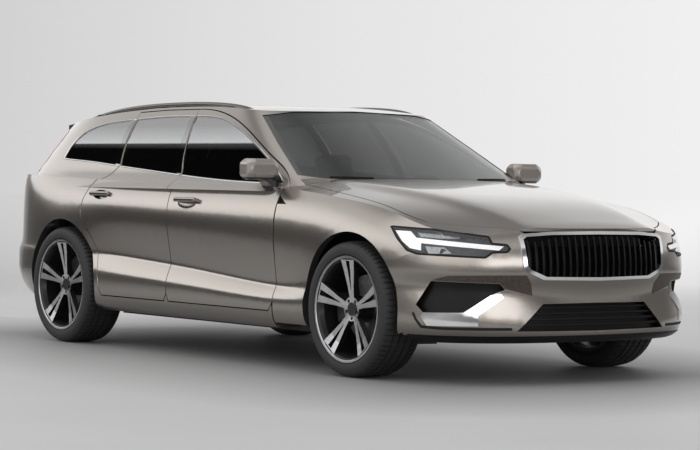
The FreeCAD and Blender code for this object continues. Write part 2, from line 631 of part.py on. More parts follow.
# Front fenders
FENDER_SIDE = [(838 + GAP, 240), (1500, 240), (1500, 604), (1862, 604), (2005, 655), (2060, 760), (2120, 900),
               (2120, 1100), (700, 1100), (700, 990), (800, 976), (838 + GAP, 925)]
fender_block = side_prism(FENDER_SIDE, 500, 1000)
fender = low_out.cut(low_panel).common(fender_block).cut(front_hole).cut(hood_hole).cut(lamp_block)
fender = biggest(fender.cut(arch_left).cut(cabin_body(-GAP)))

# Rear bumper
BUMPER_REAR = [(-1500, 100), (-2500, 100), (-2500, 540), (-2100, 540), (-1800, 600), (-1500, 600)]
rear_bumper_block = side_prism(BUMPER_REAR, -1000, 1000)
rear_bumper = low_out.common(box(-2500, -1500, -1000, 1000, 215, 620)).cut(lower_body(60.0, 0.0))
rear_bumper = biggest(rear_bumper.common(rear_bumper_block).cut(arch_cut))

# Side frames: sill, posts and rear quarter
SILL_Y = DOOR_INNER_Y - 60
FLOOR_Y = SILL_Y - 2 - SEAT_GAP
frame_low = low_out.common(box(-2500, 838 - 4, SILL_Y, 1200, 212, 1200))
rear_room = lower_body(150.0, 0.0).common(box(-2500, -1000, 0, 900, FLOOR_TOP, 1500))
frame_low = frame_low.cut(rear_room).cut(front_hole).cut(rear_hole).cut(arch_left).cut(rear_bumper_block)
frame_low = biggest(frame_low.cut(tail_block).cut(gate_hole))
hinge_post = low_panel.common(box(790, FIREWALL_X + 60, FLOOR_Y + SEAT_GAP, 768, 240, 940)).cut(front_hole)
ROOF_PLAN = [(236, 0), (200, 420), (60, 512), (-400, 528), (-900, 528), (-1400, 512), (-1800, 440),
             (GATE_HINGE_X + GAP / 2, 420), (GATE_HINGE_X + GAP / 2, 0)]
roof_ring = ROOF_PLAN + [(x, -y) for x, y in reversed(ROOF_PLAN[1:-1])]
roof_block = plan_prism(roof_ring, 1200, 1600)
frame_high = cab_shell.common(box(-2500, 1200, 0, 1200, 925, 1500)).cut(window_cut).cut(roof_block)
frame_high = frame_high.cut(screen_block).cut(front_hole).cut(rear_hole).cut(tail_block).cut(gate_hole)
frame_high = biggest(frame_high)
side_frame = biggest(frame_low.fuse(frame_high).fuse(hinge_post).cut(hood_hole))

# Roof
roof_panel = biggest(cab_shell.common(roof_block).cut(screen_block).cut(gate_hole))

# Floor with tunnel, bulkhead, load floor, front rails and strut towers
STEP_X = -1060.0
RAIL_Y0 = 380.0
RAIL_Y1 = 440.0
TOWER_Z = TYRE_RADIUS + 505.0
inside = lower_body(60.0, 0.0)
under_deck = lower_body(PANEL, 46.0)
floor_plate = low_out.common(box(STEP_X, FIREWALL_X, -FLOOR_Y, FLOOR_Y, FLOOR_BOTTOM, FLOOR_TOP))
tunnel = box(-900, FIREWALL_X, -120, 120, FLOOR_TOP - 1, 400)
tunnel = tunnel.makeFillet(30.0, [e for e in tunnel.Edges if e.BoundBox.XLength > 500 and e.BoundBox.ZMin > 390])
load = inside.common(box(-2180, STEP_X, -FLOOR_Y, FLOOR_Y, LOAD_FLOOR_Z - 30, LOAD_FLOOR_Z))
step_wall = box(STEP_X, STEP_X + 30, -FLOOR_Y, FLOOR_Y, FLOOR_TOP - 1, LOAD_FLOOR_Z)
bulkhead = under_deck.common(box(FIREWALL_X, FIREWALL_X + 24, -FLOOR_Y, FLOOR_Y, FLOOR_BOTTOM, 965))
cowl = under_deck.common(box(986, FIREWALL_X + 24, -690, 690, 880, 905))
extra = []
for side in (1, -1):
    y0, y1 = sorted((side * (REAR_WELL_Y - 14), side * FLOOR_Y))
    house = cylinder_y(AXLE_R, ARCH_CENTRE_Z, LINER_RADIUS + 14, y0, y1)
    extra.append(house.common(box(-2200, -900, -800, 800, 420, 900)))
    y0, y1 = sorted((side * RAIL_Y0, side * RAIL_Y1))
    extra.append(box(FIREWALL_X + 20, FRONT_X - 140, y0, y1, 300, 400))
    extra.append(box(AXLE_F - 90, AXLE_F + 90, y0, y1, 390, TOWER_Z + 14))
    y0, y1 = sorted((side * RAIL_Y0, side * 700))
    extra.append(box(AXLE_F - 90, AXLE_F + 90, y0, y1, TOWER_Z + SEAT_GAP, TOWER_Z + 14))
floor_pan = floor_plate.multiFuse([tunnel, load, step_wall, bulkhead, cowl] + extra).cut(arch_cut)
floor_pan = biggest(floor_pan)

# Wheels
def ring_solid(profile, centre_y):
    """Turn an (offset along the axle, radius) outline into a ring about the Y axis."""
    points = [V(0, centre_y + y, r) for y, r in profile]
    face = Part.Face(Part.makePolygon(points + points[:1]))
    return face.revolve(V(0, 0, 0), V(0, 1, 0), 360)


half_tyre = TYRE_WIDTH / 2
TYRE_PROFILE = [(-half_tyre + 14, RIM_SEAT_RADIUS), (-half_tyre + 14, RIM_LIP_RADIUS + 1),
                (-half_tyre + 3, RIM_LIP_RADIUS + 7), (-half_tyre, 300),
                (-half_tyre + 8, 326), (-half_tyre + 26, 339), (-half_tyre + 60, TYRE_RADIUS),
                (half_tyre - 60, TYRE_RADIUS), (half_tyre - 26, 339), (half_tyre - 8, 326),
                (half_tyre, 300), (half_tyre - 3, RIM_LIP_RADIUS + 7), (half_tyre - 14, RIM_LIP_RADIUS + 1),
                (half_tyre - 14, RIM_SEAT_RADIUS)]
tyre = ring_solid(TYRE_PROFILE, 0.0)

half_rim = RIM_WIDTH / 2
RIM_FACE = half_rim + 8
RIM_PROFILE = [(-half_rim, RIM_SEAT_RADIUS), (-half_rim, 240), (-half_rim + 40, 232), (half_rim - 30, 236),
               (half_rim - 6, 246), (RIM_FACE - 3, 256), (RIM_FACE, 260), (RIM_FACE, RIM_LIP_RADIUS),
               (half_rim + 1, RIM_LIP_RADIUS), (half_rim + 1, RIM_SEAT_RADIUS)]
rim = ring_solid(RIM_PROFILE, 0.0)

# Spoke pairs: a dished plate cut to five forked arms
SPOKES = 5
HUB_RADIUS = 34.0
FORK_RADIUS = 112.0
SPOKE_DISH = [(78, 0), (82, 40), (92, 110), (104, 190), (RIM_FACE - 4, 258)]
SPOKE_DEPTHS = [46, 44, 34, 30, 34]
dish = [(y, r) for y, r in SPOKE_DISH] + [(y - d, r) for (y, r), d in reversed(list(zip(SPOKE_DISH, SPOKE_DEPTHS)))]
plate = ring_solid(dish, 0.0)
arm = [V(-13, 0, 0), V(-16, 0, 50), V(-24, 0, FORK_RADIUS), V(-54, 0, 248), V(54, 0, 248),
       V(24, 0, FORK_RADIUS), V(16, 0, 50), V(13, 0, 0)]
slot = [V(-1.5, 0, FORK_RADIUS - 16), V(-15, 0, 243), V(15, 0, 243), V(1.5, 0, FORK_RADIUS - 16)]
arm = prism(arm, V(0, 140, 0)).cut(prism(slot, V(0, 140, 0)))
arms = []
for n in range(SPOKES):
    turned = arm.copy()
    turned.rotate(V(0, 0, 0), V(0, 1, 0), 360.0 / SPOKES * n)
    arms.append(turned)
spokes = plate.common(arms[0].multiFuse(arms[1:] + [Part.makeCylinder(HUB_RADIUS + 28, 140, V(0, 0, 0), V(0, 1, 0))]))
cap = Part.makeCylinder(HUB_RADIUS, 52, V(0, 34, 0), V(0, 1, 0))
nuts = []
for n in range(SPOKES):
    angle = math.radians(360.0 / SPOKES * (n + 0.5))
    nuts.append(Part.makeCylinder(9.0, 12, V(47 * math.sin(angle), 76, 47 * math.cos(angle)), V(0, 1, 0)))
disc = Part.makeCylinder(172, 26, V(0, -40, 0), V(0, 1, 0))
neck = Part.makeCylinder(70, 80, V(0, -40, 0), V(0, 1, 0))
rim = rim.multiFuse([disc, neck, spokes, cap])
for nut in nuts:
    rim = rim.cut(nut)
rim = biggest(rim.cut(cylinder_y(0, 0, SPINDLE_RADIUS + RUNNING, -60, 40)).removeSplitter())


def placed(shape, x, y, side):
    """A wheel part modelled for the left side, put at an axle end."""
    out = shape.copy() if side > 0 else mirrored(shape)
    out.translate(V(x, side * y, TYRE_RADIUS))
    return out


# Front knuckle with spindle, arm bosses and brake caliper, left side
knuckle = cylinder_y(0, 0, SPINDLE_RADIUS, -84, 38)
knuckle = knuckle.fuse(cylinder_y(0, 0, 55, -110, -48))
upright = box(-28, 28, KINGPIN_Y - WHEEL_Y - 28, KINGPIN_Y - WHEEL_Y + 30, -150, 150)
knuckle = knuckle.fuse(upright)
caliper = cylinder_y(0, 0, 215, -72, 18).cut(cylinder_y(0, 0, 120, -72, 18))
caliper = caliper.common(side_prism([(0, 0), (-400, -150), (-400, 150)], -100, 100))
caliper = caliper.cut(cylinder_y(0, 0, 180, -48, -6))
bracket = box(-140, 0, -80, -54, -40, 40)
knuckle = knuckle.fuse(caliper).fuse(bracket)
king_bore = Part.makeCylinder(KINGPIN_RADIUS + RUNNING, 400, V(0, KINGPIN_Y - WHEEL_Y, -200))
knuckle = biggest(knuckle.cut(king_bore).removeSplitter())

# Front subframe: cross member, arms, kingpins and struts
STRUT_Y = 560.0
ARM_THICK = 26.0
LOW_ARM_Z = 160.0
HIGH_ARM_Z = TYRE_RADIUS + 152.0
sub = [box(AXLE_F - 120, AXLE_F + 90, -430, 430, 170, 240)]
for side in (1, -1):
    y = side * KINGPIN_Y
    sub.append(Part.makeCylinder(KINGPIN_RADIUS, HIGH_ARM_Z + ARM_THICK - LOW_ARM_Z, V(AXLE_F, y, LOW_ARM_Z)))
    for z, root in ((LOW_ARM_Z, 400), (HIGH_ARM_Z, 445)):
        sub.append(prism([V(AXLE_F - 100, side * root, z), V(AXLE_F + 80, side * root, z),
                          V(AXLE_F + 24, y, z), V(AXLE_F - 24, y, z)], V(0, 0, ARM_THICK)))
        sub.append(Part.makeCylinder(28, ARM_THICK, V(AXLE_F, y, z)))
    sub.append(Part.makeCylinder(26, TOWER_Z - LOW_ARM_Z - 10, V(AXLE_F, side * STRUT_Y, LOW_ARM_Z + 10)))
    y0, y1 = sorted((side * (RAIL_Y0 + 5), side * (RAIL_Y1 - 5)))
    sub.append(box(AXLE_F - 60, AXLE_F + 60, y0, y1, 230, 300 - SEAT_GAP))
front_subframe = sub[0].multiFuse(sub[1:])
front_subframe = biggest(front_subframe.removeSplitter())

# Rear axle: cross member, arms and carriers with spindles
rear = [box(AXLE_R - 60, AXLE_R + 60, -520, 520, 250, 330)]
for side in (1, -1):
    y0, y1 = sorted((side * 500, side * (WHEEL_Y - 86)))
    rear.append(box(AXLE_R - 45, AXLE_R + 45, y0, y1, TYRE_RADIUS - 60, TYRE_RADIUS + 60))
    y0, y1 = sorted((side * 600, side * (WHEEL_Y + 38)))
    rear.append(cylinder_y(AXLE_R, TYRE_RADIUS, SPINDLE_RADIUS, y0, y1))
    y0, y1 = sorted((side * 470, side * 500))
    rear.append(box(AXLE_R - 30, STEP_X - SEAT_GAP, y0, y1, 250, 310))
    y0, y1 = sorted((side * 420, side * 480))
    rear.append(box(AXLE_R - 40, AXLE_R + 40, y0, y1, 320, LOAD_FLOOR_Z - 30 - SEAT_GAP))
rear_axle = biggest(rear[0].multiFuse(rear[1:]).removeSplitter())

# Engine, and the exhaust that runs beside the tunnel under the floor
engine = box(1150, 1800, -340, 340, 240 + SEAT_GAP, 800)
engine = engine.makeFillet(40.0, engine.Edges)
PIPE_RADIUS = 28.0
PIPE_Z = FLOOR_BOTTOM - PIPE_RADIUS - 6.0
muffler = box(-2150, -1850, -380, 380, 345, 470)
muffler = muffler.makeFillet(40.0, muffler.Edges)
front_pipe = Part.makeCylinder(PIPE_RADIUS, 2590, V(-1700, 150, PIPE_Z), V(1, 0, 0))
rise = V(-260, 0, 400 - PIPE_Z)
riser = Part.makeCylinder(PIPE_RADIUS, rise.Length, V(-1700, 150, PIPE_Z), rise)
elbow = Part.makeSphere(PIPE_RADIUS, V(-1700, 150, PIPE_Z))
hanger = box(-2020, -1980, -20, 20, 460, LOAD_FLOOR_Z - 30 - SEAT_GAP)
front_hanger = box(300, 330, 140, 160, PIPE_Z, FLOOR_BOTTOM - SEAT_GAP)
exhaust = biggest(front_pipe.multiFuse([muffler, riser, elbow, hanger, front_hanger]))

# Seats
def seat(y0, width, x_back, lean, base_x):
    cushion = box(base_x - 250, base_x + 260, y0 - width / 2, y0 + width / 2, 330, 470)
    cushion = cushion.makeFillet(45.0, cushion.Edges)
    back = box(-60, 60, y0 - width / 2, y0 + width / 2, 0, 600)
    back = back.makeFillet(45.0, back.Edges)
    back.rotate(V(0, y0, 0), V(0, 1, 0), -lean)
    back.translate(V(x_back, 0, 400))
    rest = box(-45, 45, y0 - 125, y0 + 125, 630, 790)
    rest = rest.makeFillet(35.0, rest.Edges)
    posts = [Part.makeCylinder(8, 80, V(0, y0 + dy, 570)) for dy in (-60, 60)]
    rest = rest.multiFuse(posts)
    rest.rotate(V(0, y0, 0), V(0, 1, 0), -lean)
    rest.translate(V(x_back, 0, 400))
    base = box(base_x - 220, base_x + 200, y0 - width / 2 + 60, y0 + width / 2 - 60, FLOOR_TOP, 350)
    return biggest(cushion.multiFuse([back, rest, base]))


front_seat = seat(370.0, 500.0, -120.0, 22.0, 120.0)
front_seats = both_sides(front_seat)
rear_back = box(-60, 60, -605, 605, 0, 560)
rear_back = rear_back.makeFillet(45.0, rear_back.Edges)
rear_back.rotate(V(0, 0, 0), V(0, 1, 0), -24)
rear_back.translate(V(-868, 0, 440))
rear_cushion = box(-890, -380, -605, 605, 400 + SEAT_GAP, 520)
rear_cushion = rear_cushion.makeFillet(45.0, rear_cushion.Edges)
rests = []
for y in (-390, 0, 390):
    head_rest = box(-40, 40, y - 120, y + 120, 575, 720)
    head_rest = head_rest.makeFillet(30.0, head_rest.Edges)
    rests.append(head_rest.fuse(Part.makeCylinder(10, 60, V(0, y, 540))))
rests = rests[0].multiFuse(rests[1:])
rests.rotate(V(0, 0, 0), V(0, 1, 0), -24)
rests.translate(V(-868, 0, 440))
rear_seat = biggest(rear_cushion.fuse(rear_back).fuse(rests))

# Dashboard with centre console, steering wheel
DASH = [(560, 640), (980, 600), (980, 925), (860, 938), (640, 930), (570, 880), (540, 760)]
dashboard = side_prism(DASH, -690, 690)
console = box(150, 700, -105, 105, 402, 640)
console = console.makeFillet(30.0, [e for e in console.Edges if e.BoundBox.XLength > 400])
dashboard = biggest(dashboard.fuse(console))
wheel_ring = Part.makeTorus(180, 15, V(0, 0, 0), V(1, 0, 0))
boss = Part.makeCylinder(60, 40, V(-20, 0, 0), V(1, 0, 0))
arms = [box(-10, 10, -180, 180, -18, 18), box(-10, 10, -18, 18, -180, 0)]
column = Part.makeCylinder(30, 200, V(0, 0, 0), V(1, 0, 0))
steering_wheel = wheel_ring.multiFuse([boss, column] + arms)
steering_wheel.rotate(V(0, 0, 0), V(0, 1, 0), 22)
steering_wheel.translate(V(430, 370, 845))
steering_wheel = biggest(steering_wheel.cut(dashboard))

# Roof rails
rail_points = [V(165, 556, 1352), V(60, 562, 1376), V(-152, 566, 1399), V(-600, 566, 1409), V(-1100, 562, 1395),
               V(-1450, 552, 1364), V(-1640, 540, 1336)]
rail_curve = Part.BSplineCurve()
rail_curve.interpolate(rail_points)
rail_wire = Part.Wire([rail_curve.toShape()])
start = rail_points[0]
RAIL_RADIUS = 14.0
section = Part.Wire([Part.Circle(start, rail_curve.tangent(rail_curve.FirstParameter)[0], RAIL_RADIUS).toShape()])
rail = rail_wire.makePipeShell([section], True, False)
feet = [box(x - 40, x + 40, 548, 576, z, z + 40) for x, z in ((60, 1340), (-700, 1370), (-1500, 1320))]
rail = rail.multiFuse(feet)
rail = biggest(rail.cut(cab_out))
roof_rails = both_sides(rail)

NODES = {
    "floor_pan": floor_pan,
    "side_frames": both_sides(side_frame),
    "roof_panel": roof_panel,
    "front_fenders": both_sides(fender),
    "front_bumper": front_bumper,
    "grille_surround": grille_surround,
    "grille_bars": grille_bars,
    "headlamps": both_sides(head_lamp),
    "tail_lamps": both_sides(tail_lamp),
    "rear_bumper": rear_bumper,
    "hood": hood,
    "tailgate": tailgate,
    "tailgate_glass": tailgate_glass,
    "windscreen": windscreen,
    "quarter_glass": both_sides(glass_quarter),
    "door_fl": door_front,
    "door_fr": mirrored(door_front),
    "door_rl": door_rear,
    "door_rr": mirrored(door_rear),
    "door_glass_fl": glass_front,
    "door_glass_fr": mirrored(glass_front),
    "door_glass_rl": glass_rear,
    "door_glass_rr": mirrored(glass_rear),
    "mirror_left": mirror,
    "mirror_right": mirrored(mirror),
    "front_subframe": front_subframe,
    "knuckle_left": placed(knuckle, AXLE_F, WHEEL_Y, 1),
    "knuckle_right": placed(knuckle, AXLE_F, WHEEL_Y, -1),
    "rear_axle": rear_axle,
    "engine": engine,
    "exhaust": exhaust,
    "front_seats": front_seats,
    "rear_seat": rear_seat,
    "dashboard": dashboard,
    "steering_wheel": steering_wheel,
    "roof_rails": roof_rails,
}
for name, axle, side in (("fl", AXLE_F, 1), ("fr", AXLE_F, -1), ("rl", AXLE_R, 1), ("rr", AXLE_R, -1)):
    NODES["rim_" + name] = placed(rim, axle, WHEEL_Y, side)
    NODES["tyre_" + name] = placed(tyre, axle, WHEEL_Y, side)

for name, shape in NODES.items():
    shape.exportStep("parts/" + name + ".step")
    bounds = shape.BoundBox
    print(name, len(shape.Solids), shape.isValid(), round(shape.Volume / 1e6, 2),
          [round(v) for v in (bounds.XMin, bounds.XMax, bounds.YMin, bounds.YMax, bounds.ZMin, bounds.ZMax)])
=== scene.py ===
import json
import math
import bpy
import bmesh
from mathutils import Matrix, Vector
from mathutils.bvhtree import BVHTree
from mathutils.geometry import delaunay_2d_cdt


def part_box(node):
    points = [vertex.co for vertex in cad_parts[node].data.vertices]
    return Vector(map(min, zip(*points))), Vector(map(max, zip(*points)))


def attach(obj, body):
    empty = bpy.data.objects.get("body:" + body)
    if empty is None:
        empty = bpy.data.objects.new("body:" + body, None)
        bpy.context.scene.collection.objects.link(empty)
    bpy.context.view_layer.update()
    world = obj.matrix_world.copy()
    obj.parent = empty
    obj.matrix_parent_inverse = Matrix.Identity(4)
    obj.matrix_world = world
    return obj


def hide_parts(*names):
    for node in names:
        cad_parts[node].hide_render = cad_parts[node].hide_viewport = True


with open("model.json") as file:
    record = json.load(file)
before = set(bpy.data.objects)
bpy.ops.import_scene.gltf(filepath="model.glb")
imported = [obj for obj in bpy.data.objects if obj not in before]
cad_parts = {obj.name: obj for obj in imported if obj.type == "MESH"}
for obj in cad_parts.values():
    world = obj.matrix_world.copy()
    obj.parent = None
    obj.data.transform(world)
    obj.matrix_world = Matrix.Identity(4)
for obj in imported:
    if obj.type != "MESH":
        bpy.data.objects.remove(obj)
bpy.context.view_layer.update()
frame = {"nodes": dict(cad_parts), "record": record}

NODES = frame["nodes"]
SLOTS = {part["node"]: part["material_slot"] for part in frame["record"]["subparts"]}

# Left and right: sign of y, word in the nodes' names, front and rear corner
SIDES = ((1, "left", "fl", "rl"), (-1, "right", "fr", "rr"))

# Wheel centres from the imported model, in metres
WHEELS = {}
for corner in ("fl", "fr", "rl", "rr"):
    low_corner, high_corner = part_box("tyre_" + corner)
    WHEELS[corner] = (low_corner + high_corner) / 2
AXLE_F = WHEELS["fl"].x
AXLE_R = WHEELS["rl"].x

# Wheel houses: height of the arches' centre, and how far from it a face may be and still be their liner
ARCH_CENTRE_Z = 0.348
LINER_REACH = 0.428
LINER_FACING = -0.2

# A shell's face is an inner one when it looks back at the car's middle line, at this height
BELT_Z = 0.62
LENGTH_SHARE = 0.15
INNER_FACING = -0.35

# Paint: colours of its flakes, and how dark its painted shade gets between two slopes on faces that look down
PAINT_DARK = (0.37, 0.335, 0.30)
PAINT_BRIGHT = (0.45, 0.41, 0.375)
FLAKE_SCALE = 2400.0
PAINTED_SHADE_LOW = 0.62
PAINTED_SHADE_SLOPES = (-0.12, 0.06)

# Camera: place, angles in radians and focal length in pixels that match the photograph's view
CAMERA_PLACE = Vector((11.5004, -8.2508, 1.0068))
CAMERA_YAW = 2.50754564
CAMERA_PITCH = -0.01946643
CAMERA_ROLL = 0.01506054
FOCAL_PIXELS = 2474.47
IMAGE_WIDTH = 700.0
SENSOR = 36.0


def add_camera():
    """Camera that sees the car as the photograph does."""
    forward = Vector((math.cos(CAMERA_PITCH) * math.cos(CAMERA_YAW),
                      math.cos(CAMERA_PITCH) * math.sin(CAMERA_YAW), math.sin(CAMERA_PITCH)))
    right = forward.cross(Vector((0, 0, 1))).normalized()
    up = right.cross(forward)
    c, s = math.cos(CAMERA_ROLL), math.sin(CAMERA_ROLL)
    right, up = c * right + s * up, -s * right + c * up
    data = bpy.data.cameras.new("camera")
    data.sensor_width = SENSOR
    data.lens = FOCAL_PIXELS * SENSOR / IMAGE_WIDTH
    data.clip_end = 200.0
    camera = bpy.data.objects.new("camera", data)
    camera.matrix_world = Matrix((
        (right.x, up.x, -forward.x, CAMERA_PLACE.x),
        (right.y, up.y, -forward.y, CAMERA_PLACE.y),
        (right.z, up.z, -forward.z, CAMERA_PLACE.z),
        (0, 0, 0, 1)))
    bpy.context.scene.collection.objects.link(camera)
    bpy.context.scene.camera = camera


# Node helpers for the materials
def new_material(name):
    mat = bpy.data.materials.new(name)
    mat.use_nodes = True
    tree = mat.node_tree
    shader = tree.nodes["Principled BSDF"]
    return mat, tree, shader


def link(tree, a, b):
    tree.links.new(a, b)


def math_node(tree, operation, *values):
    node = tree.nodes.new("ShaderNodeMath")
    node.operation = operation
    for socket, value in zip(node.inputs, values):
        if isinstance(value, (int, float)):
            socket.default_value = value
        else:
            link(tree, value, socket)
    return node.outputs["Value"]


def times(tree, a, b):
    return math_node(tree, "MULTIPLY", a, b)


def minus(tree, a, b):
    return math_node(tree, "SUBTRACT", a, b)


def largest(tree, a, b):
    return math_node(tree, "MAXIMUM", a, b)


def over(tree, a, b):
    return math_node(tree, "GREATER_THAN", a, b)


def under(tree, a, b):
    return math_node(tree, "LESS_THAN", a, b)


def length_node(tree, a, b):
    """Length of the flat vector (a, b)."""
    return math_node(tree, "SQRT", math_node(tree, "ADD", times(tree, a, a), times(tree, b, b)))


def vector_node(tree, *parts):
    node = tree.nodes.new("ShaderNodeCombineXYZ")
    for socket, part in zip(node.inputs, parts):
        if isinstance(part, float):
            socket.default_value = part
        else:
            link(tree, part, socket)
    return node.outputs["Vector"]


def dot_node(tree, a, b):
    node = tree.nodes.new("ShaderNodeVectorMath")
    node.operation = "DOT_PRODUCT"
    link(tree, a, node.inputs[0])
    if isinstance(b, tuple):
        node.inputs[1].default_value = b
    else:
        link(tree, b, node.inputs[1])
    return node.outputs["Value"]


def place_nodes(tree):
    """Object-space point, its three coordinates and the object-space normal."""
    coords = tree.nodes.new("ShaderNodeTexCoord")
    split = tree.nodes.new("ShaderNodeSeparateXYZ")
    link(tree, coords.outputs["Object"], split.inputs["Vector"])
    x, y, z = (split.outputs[axis] for axis in "XYZ")
    return coords.outputs["Object"], x, y, z, coords.outputs["Normal"]


def noise(tree, scale, detail=3.0, rough=0.5, stretch=(1, 1, 1)):
    """Noise in object space."""
    coords = tree.nodes.new("ShaderNodeTexCoord")
    mapping = tree.nodes.new("ShaderNodeMapping")
    mapping.inputs["Scale"].default_value = stretch
    node = tree.nodes.new("ShaderNodeTexNoise")
    node.inputs["Scale"].default_value = scale
    node.inputs["Detail"].default_value = detail
    node.inputs["Roughness"].default_value = rough
    link(tree, coords.outputs["Object"], mapping.inputs["Vector"])
    link(tree, mapping.outputs["Vector"], node.inputs["Vector"])
    return node


def stops(tree, source, places):
    """Colour ramp through (position, colour) stops."""
    node = tree.nodes.new("ShaderNodeValToRGB")
    ramp_elements = node.color_ramp.elements
    while len(ramp_elements) < len(places):
        ramp_elements.new(0.5)
    for element, (position, color) in zip(ramp_elements, places):
        element.position = position
        element.color = (*color, 1) if isinstance(color, tuple) else (color, color, color, 1)
    link(tree, source, node.inputs["Fac"])
    return node.outputs["Color"]


def ramp(tree, source, low, high, at=(0.35, 0.65)):
    """Colour that goes from low to high between two values of the source."""
    return stops(tree, source, ((at[0], low), (at[1], high)))


def span(tree, source, low, high, start=0.0, end=1.0):
    """Value that goes from low to high while the source goes from start to end."""
    node = tree.nodes.new("ShaderNodeMapRange")
    node.inputs["From Min"].default_value = start
    node.inputs["From Max"].default_value = end
    node.inputs["To Min"].default_value = low
    node.inputs["To Max"].default_value = high
    link(tree, source, node.inputs["Value"])
    return node.outputs["Result"]


def band(tree, source, rise_start, rise_end, fall_start, fall_end):
    """Mask that rises to 1 over one stretch and falls back to 0 over a later one."""
    return times(tree, span(tree, source, 0.0, 1.0, rise_start, rise_end),
                 span(tree, source, 1.0, 0.0, fall_start, fall_end))


def mixed(tree, mask, a, b):
    """Colour a where the mask is 0 and b where it is 1."""
    node = tree.nodes.new("ShaderNodeMix")
    node.data_type = "RGBA"
    link(tree, mask, node.inputs["Factor"])
    for socket, value in ((node.inputs[6], a), (node.inputs[7], b)):
        if isinstance(value, tuple):
            socket.default_value = (*value, 1)
        else:
            link(tree, value, socket)
    return node.outputs[2]


def bump(tree, source, shader, strength, distance):
    """Relief on a shader's surface."""
    node = tree.nodes.new("ShaderNodeBump")
    node.inputs["Strength"].default_value = strength
    node.inputs["Distance"].default_value = distance
    link(tree, source, node.inputs["Height"])
    link(tree, node.outputs["Normal"], shader.inputs["Normal"])


def liner_mask(tree, x, z, normal):
    """1 on faces that look at the centre of a wheel house from inside it, 0 elsewhere."""
    masks = []
    for axle in (AXLE_F, AXLE_R):
        dx = minus(tree, x, axle)
        dz = minus(tree, z, ARCH_CENTRE_Z)
        near = under(tree, length_node(tree, dx, dz), LINER_REACH)
        outward = vector_node(tree, dx, 0.0, dz)
        facing = under(tree, dot_node(tree, normal, outward), LINER_FACING)
        masks.append(times(tree, near, facing))
    return largest(tree, *masks)


def car_paint():
    """Metallic paint, darker where it looks down by a painted shade; inner faces and wheel houses are dark
    trim.
    """
    mat, tree, shader = new_material("paint")
    point, x, y, z, normal = place_nodes(tree)
    flake = tree.nodes.new("ShaderNodeTexVoronoi")
    flake.inputs["Scale"].default_value = FLAKE_SCALE
    link(tree, point, flake.inputs["Vector"])
    metal = ramp(tree, flake.outputs["Color"], PAINT_DARK, PAINT_BRIGHT, (0.2, 0.9))
    # Painted shade: faces that look down get a darker colour
    painted_shade = span(tree, dot_node(tree, normal, (0, 0, 1)), 1.0, 0.0, *PAINTED_SHADE_SLOPES)
    metal = mixed(tree, painted_shade, metal, tuple(PAINTED_SHADE_LOW * c for c in PAINT_DARK))
    outward = vector_node(tree, times(tree, x, LENGTH_SHARE), y, minus(tree, z, BELT_Z))
    inner = under(tree, dot_node(tree, normal, outward), INNER_FACING)
    dark = largest(tree, inner, liner_mask(tree, x, z, normal))
    link(tree, mixed(tree, dark, metal, (0.022, 0.022, 0.023)), shader.inputs["Base Color"])
    link(tree, span(tree, dark, 0.93, 0.0), shader.inputs["Metallic"])
    link(tree, span(tree, dark, 0.21, 0.75), shader.inputs["Roughness"])
    shader.inputs["Coat Weight"].default_value = 1.0
    shader.inputs["Coat Roughness"].default_value = 0.03
    return mat


def plain(name, color, metallic=0.0, rough=0.5, scale=40.0, vary=0.12, bump_size=0.0, coat=0.0,
          stretch=(1, 1, 1), specular=0.5):
    """One colour and roughness that a fine noise varies a little."""
    mat, tree, shader = new_material(name)
    field = noise(tree, scale, 4.0, 0.6, stretch)
    low = tuple(max(0.0, c * (1 - vary)) for c in color)
    high = tuple(min(1.0, c * (1 + vary)) for c in color)
    link(tree, ramp(tree, field.outputs["Fac"], low, high), shader.inputs["Base Color"])
    link(tree, span(tree, field.outputs["Fac"], rough * 0.85, min(1.0, rough * 1.2)),
         shader.inputs["Roughness"])
    shader.inputs["Metallic"].default_value = metallic
    shader.inputs["Coat Weight"].default_value = coat
    shader.inputs["Specular IOR Level"].default_value = specular
    if bump_size > 0:
        bump(tree, field.outputs["Fac"], shader, 0.4, bump_size)
    return mat


def glass(name, tint, alpha, metallic=0.0):
    """Tinted pane that shows what is behind it and mirrors its surroundings."""
    mat, tree, shader = new_material(name)
    field = noise(tree, 3.0, 2.0)
    link(tree, ramp(tree, field.outputs["Fac"], tuple(0.97 * c for c in tint), tint),
         shader.inputs["Base Color"])
    shader.inputs["Roughness"].default_value = 0.0
    shader.inputs["IOR"].default_value = 1.5
    shader.inputs["Alpha"].default_value = alpha
    shader.inputs["Metallic"].default_value = metallic
    shader.inputs["Coat Weight"].default_value = 1.0
    shader.inputs["Coat Roughness"].default_value = 0.0
    return mat


# Side glass: height of the level border of its painted reflection, how soft it is, and how far up the top's
# fade goes
PAINTED_BORDER_Z = 1.182
BORDER_SOFTNESS = 0.004
FADE_HEIGHT = 0.10
# Colours of the painted reflection: dim below the border, bright at its crest, a darker grey higher up
PAINTED_DIM_REFLECTION = ((0.020, 0.021, 0.022), (0.026, 0.027, 0.028))
PAINTED_CREST_REFLECTION = (0.42, 0.43, 0.43)
PAINTED_TOP_REFLECTION = (0.26, 0.26, 0.265)
# Its normal: upward share at the border, and how that share changes up to a distance from the border
GLASS_TILT = 0.12
TILT_CHANGE = 0.11
TILT_REACH = 0.12
GLASS_FORWARD = 0.02


